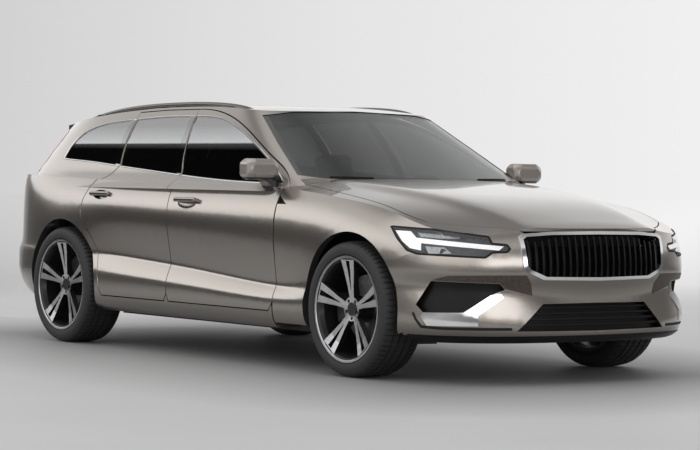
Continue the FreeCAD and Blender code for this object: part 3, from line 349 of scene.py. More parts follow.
def side_glass(name, alpha, strength):
    """Dark side pane with a painted reflection: its colour draws the level border; its normal is nearly flat.
    """
    mat, tree, shader = new_material(name)
    point, x, y, z, normal = place_nodes(tree)
    # Painted reflection: dim colour below the border, bright above it
    painted_bright = span(tree, z, 0.0, 1.0, PAINTED_BORDER_Z - BORDER_SOFTNESS, PAINTED_BORDER_Z + BORDER_SOFTNESS)
    fade = span(tree, z, 0.0, 1.0, PAINTED_BORDER_Z, PAINTED_BORDER_Z + FADE_HEIGHT)
    field = noise(tree, 2.0, 1.0)
    low = ramp(tree, field.outputs["Fac"], *PAINTED_DIM_REFLECTION)
    crest, top = (tuple(strength * c for c in color) for color in (PAINTED_CREST_REFLECTION, PAINTED_TOP_REFLECTION))
    high = mixed(tree, fade, crest, top)
    link(tree, mixed(tree, painted_bright, low, high), shader.inputs["Base Color"])
    tilt = span(tree, z, GLASS_TILT - TILT_CHANGE, GLASS_TILT + TILT_CHANGE,
                PAINTED_BORDER_Z - TILT_REACH, PAINTED_BORDER_Z + TILT_REACH)
    lean = vector_node(tree, GLASS_FORWARD, math_node(tree, "SIGN", y), tilt)
    turned = tree.nodes.new("ShaderNodeVectorTransform")
    turned.vector_type = "NORMAL"
    turned.convert_from = "OBJECT"
    turned.convert_to = "WORLD"
    link(tree, lean, turned.inputs["Vector"])
    link(tree, turned.outputs["Vector"], shader.inputs["Normal"])
    shader.inputs["Metallic"].default_value = 1.0
    shader.inputs["Roughness"].default_value = 0.03
    shader.inputs["Alpha"].default_value = alpha
    return mat


# Windscreen, in metres: half width at its foot, how it narrows with height, crest and border
SCREEN_FOOT_Z = 1.012
SCREEN_HALF_WIDTH = 0.742
SCREEN_NARROWING = 0.466
SCREEN_CREST_Z = 1.366
SCREEN_CREST_CURVE = 0.10
SCREEN_BORDER = 0.022
# Stretches across the car over which its colour and its sheen grow, a painted reflection
PAINTED_REFLECTION_STRETCH = (-0.5, 0.7)
PAINTED_SHEEN_STRETCH = (-0.25, 0.8)


def screen_glass():
    """Windscreen with an opaque black border, made to mirror more towards the car's left by a painted
    reflection.
    """
    mat, tree, shader = new_material("windscreen")
    point, x, y, z, normal = place_nodes(tree)
    side = math_node(tree, "ABSOLUTE", y)
    edge = minus(tree, SCREEN_HALF_WIDTH + SCREEN_NARROWING * SCREEN_FOOT_Z, times(tree, z, SCREEN_NARROWING))
    border = over(tree, side, minus(tree, edge, SCREEN_BORDER))
    crest = minus(tree, SCREEN_CREST_Z, times(tree, times(tree, y, y), SCREEN_CREST_CURVE))
    border = largest(tree, border, over(tree, z, crest))
    # Painted reflection: colour and sheen of the pane grow towards the car's left
    pane = mixed(tree, span(tree, y, 0.0, 1.0, *PAINTED_REFLECTION_STRETCH), (0.035, 0.038, 0.038), (0.62, 0.63, 0.63))
    sheen = span(tree, y, 0.0, 0.75, *PAINTED_SHEEN_STRETCH)
    clear = minus(tree, 1.0, border)
    link(tree, mixed(tree, border, pane, (0.004, 0.004, 0.004)), shader.inputs["Base Color"])
    link(tree, times(tree, sheen, clear), shader.inputs["Metallic"])
    link(tree, span(tree, border, 0.5, 1.0), shader.inputs["Alpha"])
    shader.inputs["Roughness"].default_value = 0.02
    shader.inputs["Coat Weight"].default_value = 1.0
    shader.inputs["Coat Roughness"].default_value = 0.0
    return mat


# Wheel: radii of the centre cap and the brake disc, and how far out a spoke's face and the disc lie
CAP_RADIUS = 0.033
DISC_RADIUS = 0.171
SPOKE_OUT = 0.06
DISC_OUT = -0.008
SPOKE_FACING = 0.72


def rim_metal(centre, side):
    """Bright machined spoke faces and lip, gloss black sides and barrel, and a steel brake disc behind."""
    mat, tree, shader = new_material("wheel_" + str(len(bpy.data.materials)))
    point, x, y, z, normal = place_nodes(tree)
    dx = minus(tree, x, centre.x)
    dz = minus(tree, z, centre.z)
    radius = length_node(tree, dx, dz)
    out = times(tree, minus(tree, y, centre.y), float(side))
    facing = over(tree, dot_node(tree, normal, (0, side, 0)), SPOKE_FACING)
    proud = over(tree, out, SPOKE_OUT)
    spoke = times(tree, facing, proud)
    cap = under(tree, radius, CAP_RADIUS)
    bright = times(tree, spoke, minus(tree, 1.0, cap))
    disc = times(tree, under(tree, radius, DISC_RADIUS), under(tree, out, DISC_OUT))
    field = noise(tree, 60.0, 4.0, 0.6, (1, 0.05, 1))
    silver = ramp(tree, field.outputs["Fac"], (0.50, 0.50, 0.51), (0.60, 0.60, 0.61))
    steel = ramp(tree, field.outputs["Fac"], (0.20, 0.20, 0.20), (0.30, 0.30, 0.30))
    base = mixed(tree, bright, (0.012, 0.012, 0.013), silver)
    link(tree, mixed(tree, disc, base, steel), shader.inputs["Base Color"])
    metal = largest(tree, bright, disc)
    link(tree, span(tree, metal, 0.0, 1.0), shader.inputs["Metallic"])
    link(tree, span(tree, bright, 0.3, 0.24), shader.inputs["Roughness"])
    return mat


# Door mirror: height of the cap's lower edge, and how squarely its back face looks rearward
MIRROR_CAP_Z = 0.997
MIRROR_BACK_FACING = -0.82


def mirror_paint():
    """Body colour on the cap, black below its lower edge, on the foot and round the glass."""
    mat, tree, shader = new_material("mirror_paint")
    point, x, y, z, normal = place_nodes(tree)
    field = noise(tree, 900.0, 2.0)
    metal = ramp(tree, field.outputs["Fac"], PAINT_DARK, PAINT_BRIGHT)
    cap = over(tree, z, MIRROR_CAP_Z)
    front = over(tree, dot_node(tree, normal, (1, 0, 0)), MIRROR_BACK_FACING)
    cap = times(tree, cap, front)
    link(tree, mixed(tree, cap, (0.012, 0.012, 0.012), metal), shader.inputs["Base Color"])
    link(tree, span(tree, cap, 0.0, 0.72), shader.inputs["Metallic"])
    link(tree, span(tree, cap, 0.4, 0.33), shader.inputs["Roughness"])
    shader.inputs["Coat Weight"].default_value = 0.8
    shader.inputs["Coat Roughness"].default_value = 0.03
    return mat


def lamp_red():
    """Red lens with fine flutes."""
    mat, tree, shader = new_material("lamp_red")
    point, x, y, z, normal = place_nodes(tree)
    wave = tree.nodes.new("ShaderNodeTexWave")
    wave.inputs["Scale"].default_value = 45.0
    wave.bands_direction = "Z"
    link(tree, point, wave.inputs["Vector"])
    link(tree, ramp(tree, wave.outputs["Fac"], (0.20, 0.006, 0.008), (0.42, 0.014, 0.016), (0.2, 0.8)),
         shader.inputs["Base Color"])
    shader.inputs["Roughness"].default_value = 0.12
    shader.inputs["Coat Weight"].default_value = 1.0
    bump(tree, wave.outputs["Fac"], shader, 0.3, 0.0006)
    return mat


def glowing(mat, strength):
    """The material with a white glow added."""
    shader = mat.node_tree.nodes["Principled BSDF"]
    shader.inputs["Emission Color"].default_value = (1.0, 1.0, 1.0, 1.0)
    shader.inputs["Emission Strength"].default_value = strength
    return mat


# Materials by slot: colour, metallic, roughness, and scale and share of the noise that varies them
MATERIALS = {
    "paint": car_paint(),
    "underbody": plain("underbody", (0.03, 0.03, 0.031), 0.0, 0.7, 30.0, 0.25, 0.0004),
    "trim_black": plain("trim_black", (0.005, 0.005, 0.0055), 0.0, 0.30, 20.0, 0.2, specular=0.25),
    "chrome": plain("chrome", (0.80, 0.80, 0.81), 1.0, 0.08, 14.0, 0.03),
    "satin_rail": plain("satin_rail", (0.20, 0.19, 0.18), 1.0, 0.3, 60.0, 0.06, stretch=(0.05, 1, 1)),
    "lamp_clear": glass("lamp_clear", (0.5, 0.52, 0.54), 0.16),
    "lamp_red": lamp_red(),
    "window": glass("window", (0.17, 0.175, 0.18), 0.93, 1.0),
    "wheel_alloy": plain("wheel_alloy", (0.55, 0.55, 0.56), 1.0, 0.22, 50.0, 0.05),
    "tyre": plain("tyre", (0.024, 0.024, 0.025), 0.0, 0.6, 90.0, 0.2, 0.0002),
    "cast": plain("cast", (0.10, 0.10, 0.105), 0.8, 0.5, 80.0, 0.2, 0.0005),
    "seat_leather": plain("seat_leather", (0.055, 0.048, 0.043), 0.0, 0.5, 160.0, 0.15, 0.0006),
    "cabin_plastic": plain("cabin_plastic", (0.02, 0.02, 0.021), 0.0, 0.6, 200.0, 0.2, 0.0003),
    "steel": plain("steel", (0.4, 0.4, 0.41), 1.0, 0.3, 50.0, 0.12),
}

# Materials of single pieces
SCREEN = screen_glass()
# Side panes and post covers carry a painted reflection with a level border
SIDE_GLASS = side_glass("side_glass", 0.74, 1.0)
POST_PAINTED_REFLECTION = side_glass("post_painted_reflection", 1.0, 0.66)
MIRROR = mirror_paint()
LAMP_WHITE = glowing(plain("lamp_white", (0.92, 0.93, 0.93), 0.0, 0.3, 120.0, 0.03, coat=0.8), 0.45)
LAMP_HOUSING = plain("lamp_housing", (0.035, 0.035, 0.037), 0.4, 0.35, 60.0, 0.3)
LAMP_SILVER = plain("lamp_silver", (0.36, 0.37, 0.38), 1.0, 0.25, 60.0, 0.2)
# Dark brown for the painted shade on the bumper beside the grille
BUMPER_SHADE_PLATE = plain("bumper_painted_shade", (0.085, 0.068, 0.058), 0.5, 0.4, 60.0, 0.2)
MATT_BLACK = plain("matt_black", (0.010, 0.010, 0.0105), 0.0, 0.6, 60.0, 0.2, specular=0.3)
MIRROR_GLASS = plain("mirror_glass", (0.75, 0.77, 0.78), 1.0, 0.02, 8.0, 0.02)


def material_of(name):
    """Material of a CAD node."""
    if name.startswith("rim_"):
        corner = name[-2:]
        return rim_metal(WHEELS[corner], 1 if corner in ("fl", "rl") else -1)
    if name == "windscreen":
        return SCREEN
    if name.startswith("door_glass_") or name == "quarter_glass":
        return SIDE_GLASS
    if name.startswith("mirror_"):
        return MIRROR
    return MATERIALS[SLOTS[name]]


for name, node in NODES.items():
    node.data.materials.clear()
    node.data.materials.append(material_of(name))


# Shape helpers
def add_mesh(name, verts, faces, material, body):
    """Smooth-shaded mesh that rides on a body and has a material slot."""
    mesh = bpy.data.meshes.new(name)
    mesh.from_pydata([tuple(v) for v in verts], [], faces)
    mesh.validate()
    obj = bpy.data.objects.new(name, mesh)
    bpy.context.scene.collection.objects.link(obj)
    mesh.materials.append(material)
    mesh.polygons.foreach_set("use_smooth", [True] * len(mesh.polygons))
    mesh.update()
    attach(obj, body)
    return obj


def soften(obj, angle=35.0):
    """Sharp edges stay sharp, the rest is shaded smooth."""
    mesh = obj.data
    bm = bmesh.new()
    bm.from_mesh(mesh)
    limit = math.radians(angle)
    for edge in bm.edges:
        if len(edge.link_faces) == 2 and edge.calc_face_angle(0.0) > limit:
            edge.smooth = False
    bm.to_mesh(mesh)
    bm.free()
    return obj


def ring_mesh(profile, columns, centre):
    """Closed (y, r, groove) outline turned about the Y axis, through columns of (angle, grooved)."""
    verts, faces = [], []
    rows = len(profile)
    count = len(columns)
    for angle, grooved in columns:
        for y, r, groove in profile:
            radius = r - (groove if grooved else 0.0)
            verts.append((centre.x + radius * math.sin(angle), centre.y + y,
                          centre.z + radius * math.cos(angle)))
    for i in range(count):
        j = (i + 1) % count
        for k in range(rows):
            m = (k + 1) % rows
            faces.append((i * rows + k, j * rows + k, j * rows + m, i * rows + m))
    return verts, faces


# Millimetres in metres
MM = 0.001
# Even spacing of the points along trim
TRIM_STEP = 0.012
# Section of a strip as (share of its width, share of its height), and how deep its sides reach below it
STRIP_SECTION = [(-0.5, -1.0), (-0.5, 0.0), (-0.36, 0.5), (0.0, 1.0), (0.36, 0.5), (0.5, 0.0), (0.5, -1.0)]
STRIP_ROOT = 0.003
# Folds sharper than this, in degrees, stay sharp on trim
SHARP_TRIM = 50.0
TREES = {}


def surface_of(names):
    """Search tree over the surfaces of CAD nodes."""
    key = tuple(names)
    if key not in TREES:
        verts, polys = [], []
        for name in names:
            base = len(verts)
            mesh = NODES[name].data
            verts += [v.co.copy() for v in mesh.vertices]
            polys += [[base + i for i in p.vertices] for p in mesh.polygons]
        TREES[key] = BVHTree.FromPolygons(verts, polys)
    return TREES[key]


def drop_on(tree, point, direction, reach=3.0):
    """First hit of a ray that comes from outside along the direction."""
    d = Vector(direction).normalized()
    start = Vector(point) - d * reach
    hit, normal, index, distance = tree.ray_cast(start, d, 2 * reach)
    if hit is None:
        return None, None
    if normal.dot(d) > 0:
        normal = -normal
    return hit, normal


def resample(points, step):
    """Points at even spacing along a polyline."""
    pts = [Vector(p) for p in points]
    out = [pts[0]]
    for a, b in zip(pts, pts[1:]):
        n = max(1, int(round((b - a).length / step)))
        out += [a.lerp(b, k / n) for k in range(1, n + 1)]
    return out


def smooth_path(points, step, closed=False):
    """Catmull-Rom curve through the points, evenly divided."""
    pts = [Vector(p) for p in points]
    n = len(pts)
    out = []
    last = n if closed else n - 1
    for i in range(last):
        p1, p2 = pts[i], pts[(i + 1) % n]
        p0 = pts[i - 1] if (i > 0 or closed) else p1 * 2 - p2
        p3 = pts[(i + 2) % n] if (i + 2 < n or closed) else p2 * 2 - p1
        k = max(1, int(round((p2 - p1).length / step)))
        for j in range(k):
            t = j / k
            out.append(0.5 * ((2 * p1) + (p2 - p0) * t + (2 * p0 - 5 * p1 + 4 * p2 - p3) * t * t
                              + (3 * p1 - p0 - 3 * p2 + p3) * t ** 3))
    if not closed:
        out.append(pts[-1])
    return out


def strip(name, path, width, height, lift, targets, direction, material, body, closed=False):
    """Moulding that lies on CAD surfaces along a path, domed across its width."""
    tree = surface_of(targets)
    hits = []
    for p in path:
        h, n = drop_on(tree, p, direction)
        if h is not None:
            hits.append((h, n))
    count = len(hits)
    verts, faces = [], []
    for i, (h, n) in enumerate(hits):
        before = hits[i - 1][0] if (i > 0 or closed) else h
        after = hits[(i + 1) % count][0] if (i < count - 1 or closed) else h
        tangent = (after - before).normalized()
        across = n.cross(tangent).normalized()
        for a, b in STRIP_SECTION:
            rise = lift + (height * b if b >= 0 else -STRIP_ROOT)
            verts.append(h + across * (a * width) + n * rise)
    rows = len(STRIP_SECTION)
    last = count if closed else count - 1
    for i in range(last):
        j = (i + 1) % count
        for k in range(rows):
            m = (k + 1) % rows
            faces.append((i * rows + k, i * rows + m, j * rows + m, j * rows + k))
    if not closed:
        faces.append(tuple(reversed(range(rows))))
        faces.append(tuple(range((count - 1) * rows, count * rows)))
    return soften(add_mesh(name, verts, faces, material, body), SHARP_TRIM)


def patch(name, outline, direction, targets, lift, thick, material, body, cell=0.02):
    """Plate in the shape of an outline laid on CAD surfaces, seen along the direction."""
    d = Vector(direction).normalized()
    side = d.cross(Vector((0, 0, 1))).normalized()
    up = side.cross(d).normalized()
    flat = [Vector((Vector(p).dot(side), Vector(p).dot(up))) for p in outline]
    depth = sum(Vector(p).dot(d) for p in outline) / len(outline)
    ring = []
    for a, b in zip(flat, flat[1:] + flat[:1]):
        n = max(1, int(round((b - a).length / cell)))
        ring += [a.lerp(b, k / n) for k in range(n)]
    count = len(ring)
    lo = Vector((min(p.x for p in ring), min(p.y for p in ring)))
    hi = Vector((max(p.x for p in ring), max(p.y for p in ring)))
    inner = []
    y = lo.y + cell / 2
    while y < hi.y:
        x = lo.x + cell / 2
        while x < hi.x:
            inner.append(Vector((x, y)))
            x += cell
        y += cell
    edges = [(i, (i + 1) % count) for i in range(count)]
    points, _, tris = delaunay_2d_cdt(ring + inner, edges, [], 1, 1e-5)[:3]
    tree = surface_of(targets)
    top, bottom, keep = [], [], {}
    for i, p in enumerate(points):
        place = side * p.x + up * p.y + d * depth
        h, n = drop_on(tree, place, d)
        if h is None:
            continue
        keep[i] = len(top)
        top.append(h + n * (lift + thick))
        bottom.append(h + n * lift)
    verts = top + bottom
    half = len(top)
    faces, used = [], {}
    for tri in tris:
        if all(i in keep for i in tri):
            a, b, c = [keep[i] for i in tri]
            normal = (top[b] - top[a]).cross(top[c] - top[a])
            if normal.dot(d) > 0:
                a, c = c, a
            faces.append((a, b, c))
            faces.append((half + c, half + b, half + a))
            for e in ((a, b), (b, c), (c, a)):
                used[e] = used.get(e, 0) + 1
    for a, b in list(used):
        if (b, a) not in used:
            faces.append((b, a, half + a, half + b))
    return soften(add_mesh(name, verts, faces, material, body), SHARP_TRIM)


def sided(points, side):
    """Left-side points in millimetres as points in metres on the left (1) or right (-1)."""
    return [(x * MM, side * y * MM, z * MM) for x, y, z in points]


def on_side(points, side):
    """(x, z) points in millimetres put beside the car on one side."""
    return [(x * MM, side * 0.95, z * MM) for x, z in points]


def stretch_of(line, high_x, low_x, step=TRIM_STEP):
    """Part of a smooth line between two x values, as (x, z) points in millimetres."""
    curve = smooth_path([(x * MM, 0, z * MM) for x, z in line], step)
    return [(p.x * 1000, p.z * 1000) for p in curve if low_x <= p.x * 1000 <= high_x]


# Tyres: half a section from bead to middle as (y, radius, groove depth) in millimetres
TYRE_OUTLINE = [(113.5, 252, 0), (113.5, 270, 0), (124.5, 276, 0), (127.0, 284, 0), (127.5, 299, 0),
                (127.2, 309, 0), (126.0, 311, 0), (125.8, 313, 0), (124.4, 317, 0), (119.5, 326, 0),
                (112.0, 333, 2), (101.5, 338.2, 5), (84.0, 341.0, 6), (67.0, 342.6, 6), (66.5, 336, 0),
                (58.0, 336, 0), (57.5, 343, 3), (42.0, 343, 3), (27.0, 343, 3), (26.5, 336, 0),
                (18.0, 336, 0), (17.5, 343, 3), (0.0, 343, 3)]
TREAD_BLOCKS = 72
# Columns of one tread block: share of its pitch, and whether the groove across the tread lies there
BLOCK_COLUMNS = ((0.0, False), (0.78, False), (0.80, True), (0.98, True))
SHARP_TYRE = 32.0


def add_tyre(corner):
    """Tyre with tread blocks, grooves round it and sidewall ribs."""
    half = [(y * MM, r * MM, groove * MM) for y, r, groove in TYRE_OUTLINE]
    profile = [(-y, r, groove) for y, r, groove in half] + half[-2::-1]
    pitch = 2 * math.pi / TREAD_BLOCKS
    columns = [((k + share) * pitch, grooved) for k in range(TREAD_BLOCKS)
               for share, grooved in BLOCK_COLUMNS]
    verts, faces = ring_mesh(profile, columns, WHEELS[corner])
    obj = add_mesh("tyre_tread_" + corner, verts, faces, MATERIALS["tyre"], "wheel_" + corner)
    soften(obj, SHARP_TYRE)
    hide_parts("tyre_" + corner)


# Window surrounds as (x, z) lines in millimetres, and the x values where each length starts and ends
LOW_LINE = [(783, 966), (500, 971), (200, 980), (-181, 1000), (-520, 1022), (-877, 1046), (-1230, 1071),
            (-1560, 1087), (-1650, 1093)]
HIGH_LINE = [(785, 969), (543, 1107), (303, 1213), (62, 1293), (-109, 1328), (-356, 1340), (-700, 1338),
             (-1062, 1321), (-1328, 1301), (-1539, 1245), (-1626, 1167), (-1653, 1095)]
LOW_ENDS = {"front": (783, -214), "rear": (-236, -910), "quarter": (-928, -1660)}
HIGH_ENDS = {"front": (785, -336), "rear": (-352, -964), "quarter": (-982, -1660)}
CENTRE_POST = [(-233, 1012), (-296, 1200), (-352, 1332), (-394, 1330), (-350, 1200), (-276, 1014)]
REAR_POST = [(-924, 1060), (-955, 1190), (-984, 1316), (-1030, 1312), (-1008, 1190), (-974, 1064)]
MIRROR_SAIL = [(776, 976), (640, 976), (640, 1046), (668, 1040)]
TRIM_WIDTH = {"belt": 0.009, "frame": 0.008}
TRIM_HEIGHT = 0.003
TRIM_LIFT = 0.0005
COVER_LIFT = 0.0004
COVER_THICKNESS = 0.0015
# Mirror glass: x of the head's back, and its outline as (y, z), in metres
MIRROR_GLASS_X = 0.65
MIRROR_OUTLINE = [(0.834, 1.078), (0.834, 1.008), (0.846, 0.998), (0.975, 0.998), (0.990, 1.008),
                  (0.990, 1.070), (0.975, 1.084), (0.846, 1.086)]


def add_window_trim(side, word, front, rear):
    """Bright surrounds, dark covers with a painted reflection on the posts, and the door mirror's sail and
    glass.
    """
    inward = (0, -side, 0)
    front_door = ["door_" + front, "door_glass_" + front]
    lengths = (("front", "door_front_" + word, front_door),
               ("rear", "door_rear_" + word, ["door_" + rear, "door_glass_" + rear]),
               ("quarter", "body", ["side_frames", "quarter_glass"]))
    for part, body, targets in lengths:
        low_path = on_side(stretch_of(LOW_LINE, *LOW_ENDS[part]), side)
        high_path = on_side(stretch_of(HIGH_LINE, *HIGH_ENDS[part]), side)
        for kind, path in (("belt", low_path), ("frame", high_path)):
            strip(kind + "_trim_" + part + "_" + word, path, TRIM_WIDTH[kind], TRIM_HEIGHT, TRIM_LIFT,
                  targets, inward, MATERIALS["chrome"], body)
    for place, outline, target, body in (("centre", CENTRE_POST, "door_" + rear, "door_rear_" + word),
                                         ("rear", REAR_POST, "side_frames", "body")):
        patch(place + "_post_cover_" + word, on_side(outline, side), inward, [target], COVER_LIFT,
              COVER_THICKNESS, POST_PAINTED_REFLECTION, body)
    patch("mirror_sail_" + word, on_side(MIRROR_SAIL, side), inward, front_door, 0.0006, 0.002,
          MATERIALS["trim_black"], "door_front_" + word)
    patch("mirror_glass_" + word, [(MIRROR_GLASS_X, side * y, z) for y, z in MIRROR_OUTLINE], (1, 0, 0),
          ["mirror_" + word], 0.0005, 0.0015, MIRROR_GLASS, "door_front_" + word, 0.012)


# Red lens that wraps round the rear edge of the last pillar and runs down to the lamp's elbow
LENS_EDGE = [(-1846, 1262), (-1856, 1232), (-1874, 1201), (-1900, 1170), (-1930, 1139), (-1936, 1107),
             (-1964, 1076), (-2008, 1045), (-2010, 1016)]


def add_lens_edge(side, word):
    """The rear lamps' lens along the last pillar."""
    path = smooth_path(on_side(LENS_EDGE, side), TRIM_STEP)
    strip("lens_edge_" + word, path, 0.034, 0.003, 0.0005, ["side_frames"], (0, -side, 0),
          MATERIALS["lamp_red"], "body")


# Headlamps, left side, in millimetres: lens outline and its middle, light guide with its wedge, two mirrors
LAMP_OUTLINE = [(1802, 876, 769), (1862, 882, 709), (1933, 874, 650), (1989, 857, 634), (2258, 634, 623),
                (2274, 597, 649), (2302, 530, 652), (2304, 515, 669), (2295, 526, 688), (2263, 595, 694),
                (2244, 603, 728), (2042, 791, 762)]
LAMP_MIDDLE = Vector((2060, 735, 700))
LIGHT_GUIDE = [(1841, 875, 750), (1934, 850, 748), (1974, 847, 717), (2288, 548, 682), (2283, 572, 662),
               (2004, 842, 691), (2010, 846, 655), (1951, 867, 664), (1898, 876, 697)]
LAMP_MIRRORS = {"upper": [(1952, 840, 755), (2075, 775, 752), (2150, 705, 745), (2150, 722, 722),
                          (2070, 790, 722), (1985, 838, 727)],
                "lower": [(2020, 838, 678), (2110, 782, 676), (2140, 760, 645), (2040, 832, 642)]}
# Depths behind the lens, in metres, and how far inside the lens edge the gasket runs, in millimetres
HOUSING_DEPTH = 0.034
MIRROR_DEPTH = 0.028
GUIDE_DEPTH = 0.010
GASKET_INSET = 8


def toward_nose(side):
    """Level direction from outside towards one corner of the nose."""
    return (-0.8, -0.6 * side, 0)


def add_headlamp(side, word):
    """Dark housing, white light guide, silvered mirrors and a black gasket on the lens."""
    inward = toward_nose(side)
    targets = ["headlamps"]
    patch("lamp_housing_" + word, sided(LAMP_OUTLINE, side), inward, targets, -HOUSING_DEPTH, 0.003,
          LAMP_HOUSING, "body")
    patch("light_guide_" + word, sided(LIGHT_GUIDE, side), inward, targets, -GUIDE_DEPTH, 0.004,
          LAMP_WHITE, "body")
    for part, outline in LAMP_MIRRORS.items():
        patch("lamp_mirror_" + part + "_" + word, sided(outline, side), inward, targets, -MIRROR_DEPTH, 0.003,
              LAMP_SILVER, "body")
    inset = []
    for point in LAMP_OUTLINE + LAMP_OUTLINE[:1]:
        step = LAMP_MIDDLE - Vector(point)
        inset.append(tuple(Vector(point) + step.normalized() * GASKET_INSET))
    path = resample(sided(inset, side), 0.01)[:-1]
    strip("lamp_gasket_" + word, path, 0.010, 0.0012, 0.0002, targets, inward, MATT_BLACK, "body",
          True)


# Painted shade beside the grille and a painted shadow line under the corner trims, left side, in millimetres
BUMPER_SHADE_OUTLINE = [(2068, 817, 510), (2087, 806, 519), (2141, 775, 535), (2245, 660, 539), (2302, 551, 541),
               (2337, 441, 541), (2334, 412, 500), (2330, 398, 440), (2291, 540, 474), (2285, 567, 503)]
TRIM_SHADOW_PATH = [(1982, 864, 352), (2000, 859, 318), (2026, 846, 284), (2110, 790, 279), (2242, 665, 279),
             (2311, 508, 279)]


def add_bumper_trim(side, word):
    """Dark band of painted shade beside the grille, and a black line of painted shadow under the bright
    corner trim.
    """
    inward = toward_nose(side)
    patch("bumper_shade_band_" + word, sided(BUMPER_SHADE_OUTLINE, side), inward, ["front_bumper"], 0.0003, 0.001,
          BUMPER_SHADE_PLATE, "body")
    # Painted shadow: black line under the bright corner trim
    strip("trim_shadow_line_" + word, resample(sided(TRIM_SHADOW_PATH, side), TRIM_STEP), 0.014, 0.001, 0.0002,
          ["front_bumper"], inward, MATT_BLACK, "body")


# Wipers parked along the foot of the windscreen: where each blade starts and ends across the car
WIPERS = ((0.60, -0.02), (-0.06, -0.60))
WIPER_STEPS = 24
WIPER_X = 0.985
WIPER_SWEEP = 0.22
WIPER_Z = 0.990
WIPER_RISE = 0.004


def add_wiper(number, near, far):
    """Blade that follows the curve of the glass."""
    path = []
    for k in range(WIPER_STEPS + 1):
        y = near + (far - near) * k / WIPER_STEPS
        path.append((WIPER_X - WIPER_SWEEP * y * y, y, WIPER_Z + WIPER_RISE * k / WIPER_STEPS))
    strip("wiper_blade_" + str(number), path, 0.010, 0.006, 0.001, ["windscreen"], (-0.5, 0, -0.86),
          MATT_BLACK, "body")


for corner in WHEELS:
    add_tyre(corner)
for side in SIDES:
    add_window_trim(*side)
for side, word, front, rear in SIDES:
    add_lens_edge(side, word)
for side, word, front, rear in SIDES:
    add_headlamp(side, word)
for side, word, front, rear in SIDES:
    add_bumper_trim(side, word)
for number, (near, far) in enumerate(WIPERS):
    add_wiper(number, near, far)

# Seats, in metres. Before it leans, a pad's x looks forward, its y left and its z up.
X, Y, Z = 0, 1, 2
SEAT_Y = 0.37
CUSHION_SIZE = (0.49, 0.47, 0.115)
CUSHION_PLACE = (0.125, 0.395)
BACK_SIZE = (0.095, 0.47, 0.57)
HEAD_REST_SIZE = (0.080, 0.24, 0.15)
REST_POST_SIZE = (0.014, 0.014, 0.10)
BASE_SIZE = (0.41, 0.37, 0.115)
BASE_PLACE = (0.11, 0.29)
REAR_CUSHION_SIZE = (0.48, 1.18, 0.10)
REAR_CUSHION_PLACE = (-0.63, 0.458)
REAR_BACK_SIZE = (0.10, 1.18, 0.54)
REAR_REST_SIZE = (0.070, 0.23, 0.135)
REAR_POST_SIZE = (0.018, 0.10, 0.05)
REAR_REST_PLACES = (-0.39, 0.0, 0.39)
# Seat backs: place of the foot, lean in degrees, and how far up the back each piece's middle lies
FRONT_BACK = {"x": -0.12, "z": 0.40, "lean": 22, "pad": 0.31, "rest": 0.712, "post": 0.61}
REAR_BACK = {"x": -0.868, "z": 0.44, "lean": 24, "pad": 0.28, "rest": 0.647, "post": 0.565}
POST_SHIFT = 0.06
# Sewn channels of each pad as (axis, value on it, axis along the channel, half its length)
CUSHION_SEAMS = [(Y, -0.15, X, 0.3), (Y, 0.15, X, 0.3), (X, 0.03, Y, 0.15), (X, -0.08, Y, 0.15)]
BACK_SEAMS = [(Y, -0.15, Z, 0.26), (Y, 0.15, Z, 0.26), (Z, 0.14, Y, 0.15), (Z, 0.02, Y, 0.15),
              (Z, -0.10, Y, 0.15)]
REAR_CUSHION_SEAMS = [(Y, -0.2, X, 0.3), (Y, 0.2, X, 0.3), (X, 0.0, Y, 0.56)]
REAR_BACK_SEAMS = [(Y, -0.2, Z, 0.3), (Y, 0.2, Z, 0.3), (Z, 0.08, Y, 0.56), (Z, -0.08, Y, 0.56)]
# Bolsters start and reach their full height at these distances from the seat's middle
BOLSTER_START = 0.14
BOLSTER_REACH = 0.06
BOLSTER_RISE = 0.03
PAD_POWER = 7.0
PAD_CELLS = 14
FRONT_VOXEL = 0.012
REAR_VOXEL = 0.014
REST_VOXEL = 0.010
PRESSURE = 4.0
CLOTH_FRAMES = 20
SWELL_LIMIT = 0.012
SEAM_DIP = 0.004
PADS = []


def rounded_form(size, power, cells, place, shape=None):
    """Closed form like a box with rounded edges and crowned faces; shape may move its local points."""
    verts, faces, index = [], [], {}
    for axis in range(3):
        for sign in (-1, 1):
            grid = []
            for i in range(cells + 1):
                row = []
                for j in range(cells + 1):
                    c = [0.0, 0.0, 0.0]
                    c[axis] = float(sign)
                    c[(axis + 1) % 3] = 2 * i / cells - 1
                    c[(axis + 2) % 3] = 2 * j / cells - 1
                    key = tuple(round(v, 5) for v in c)
                    if key not in index:
                        length = sum(abs(v) ** power for v in c) ** (1 / power)
                        local = Vector([v / length * extent / 2 for v, extent in zip(c, size)])
                        index[key] = len(verts)
                        verts.append(place @ (shape(local) if shape else local))
                    row.append(index[key])
                grid.append(row)
            for i in range(cells):
                for j in range(cells):
                    quad = (grid[i][j], grid[i + 1][j], grid[i + 1][j + 1], grid[i][j + 1])
                    faces.append(quad if sign > 0 else quad[::-1])
    return verts, faces


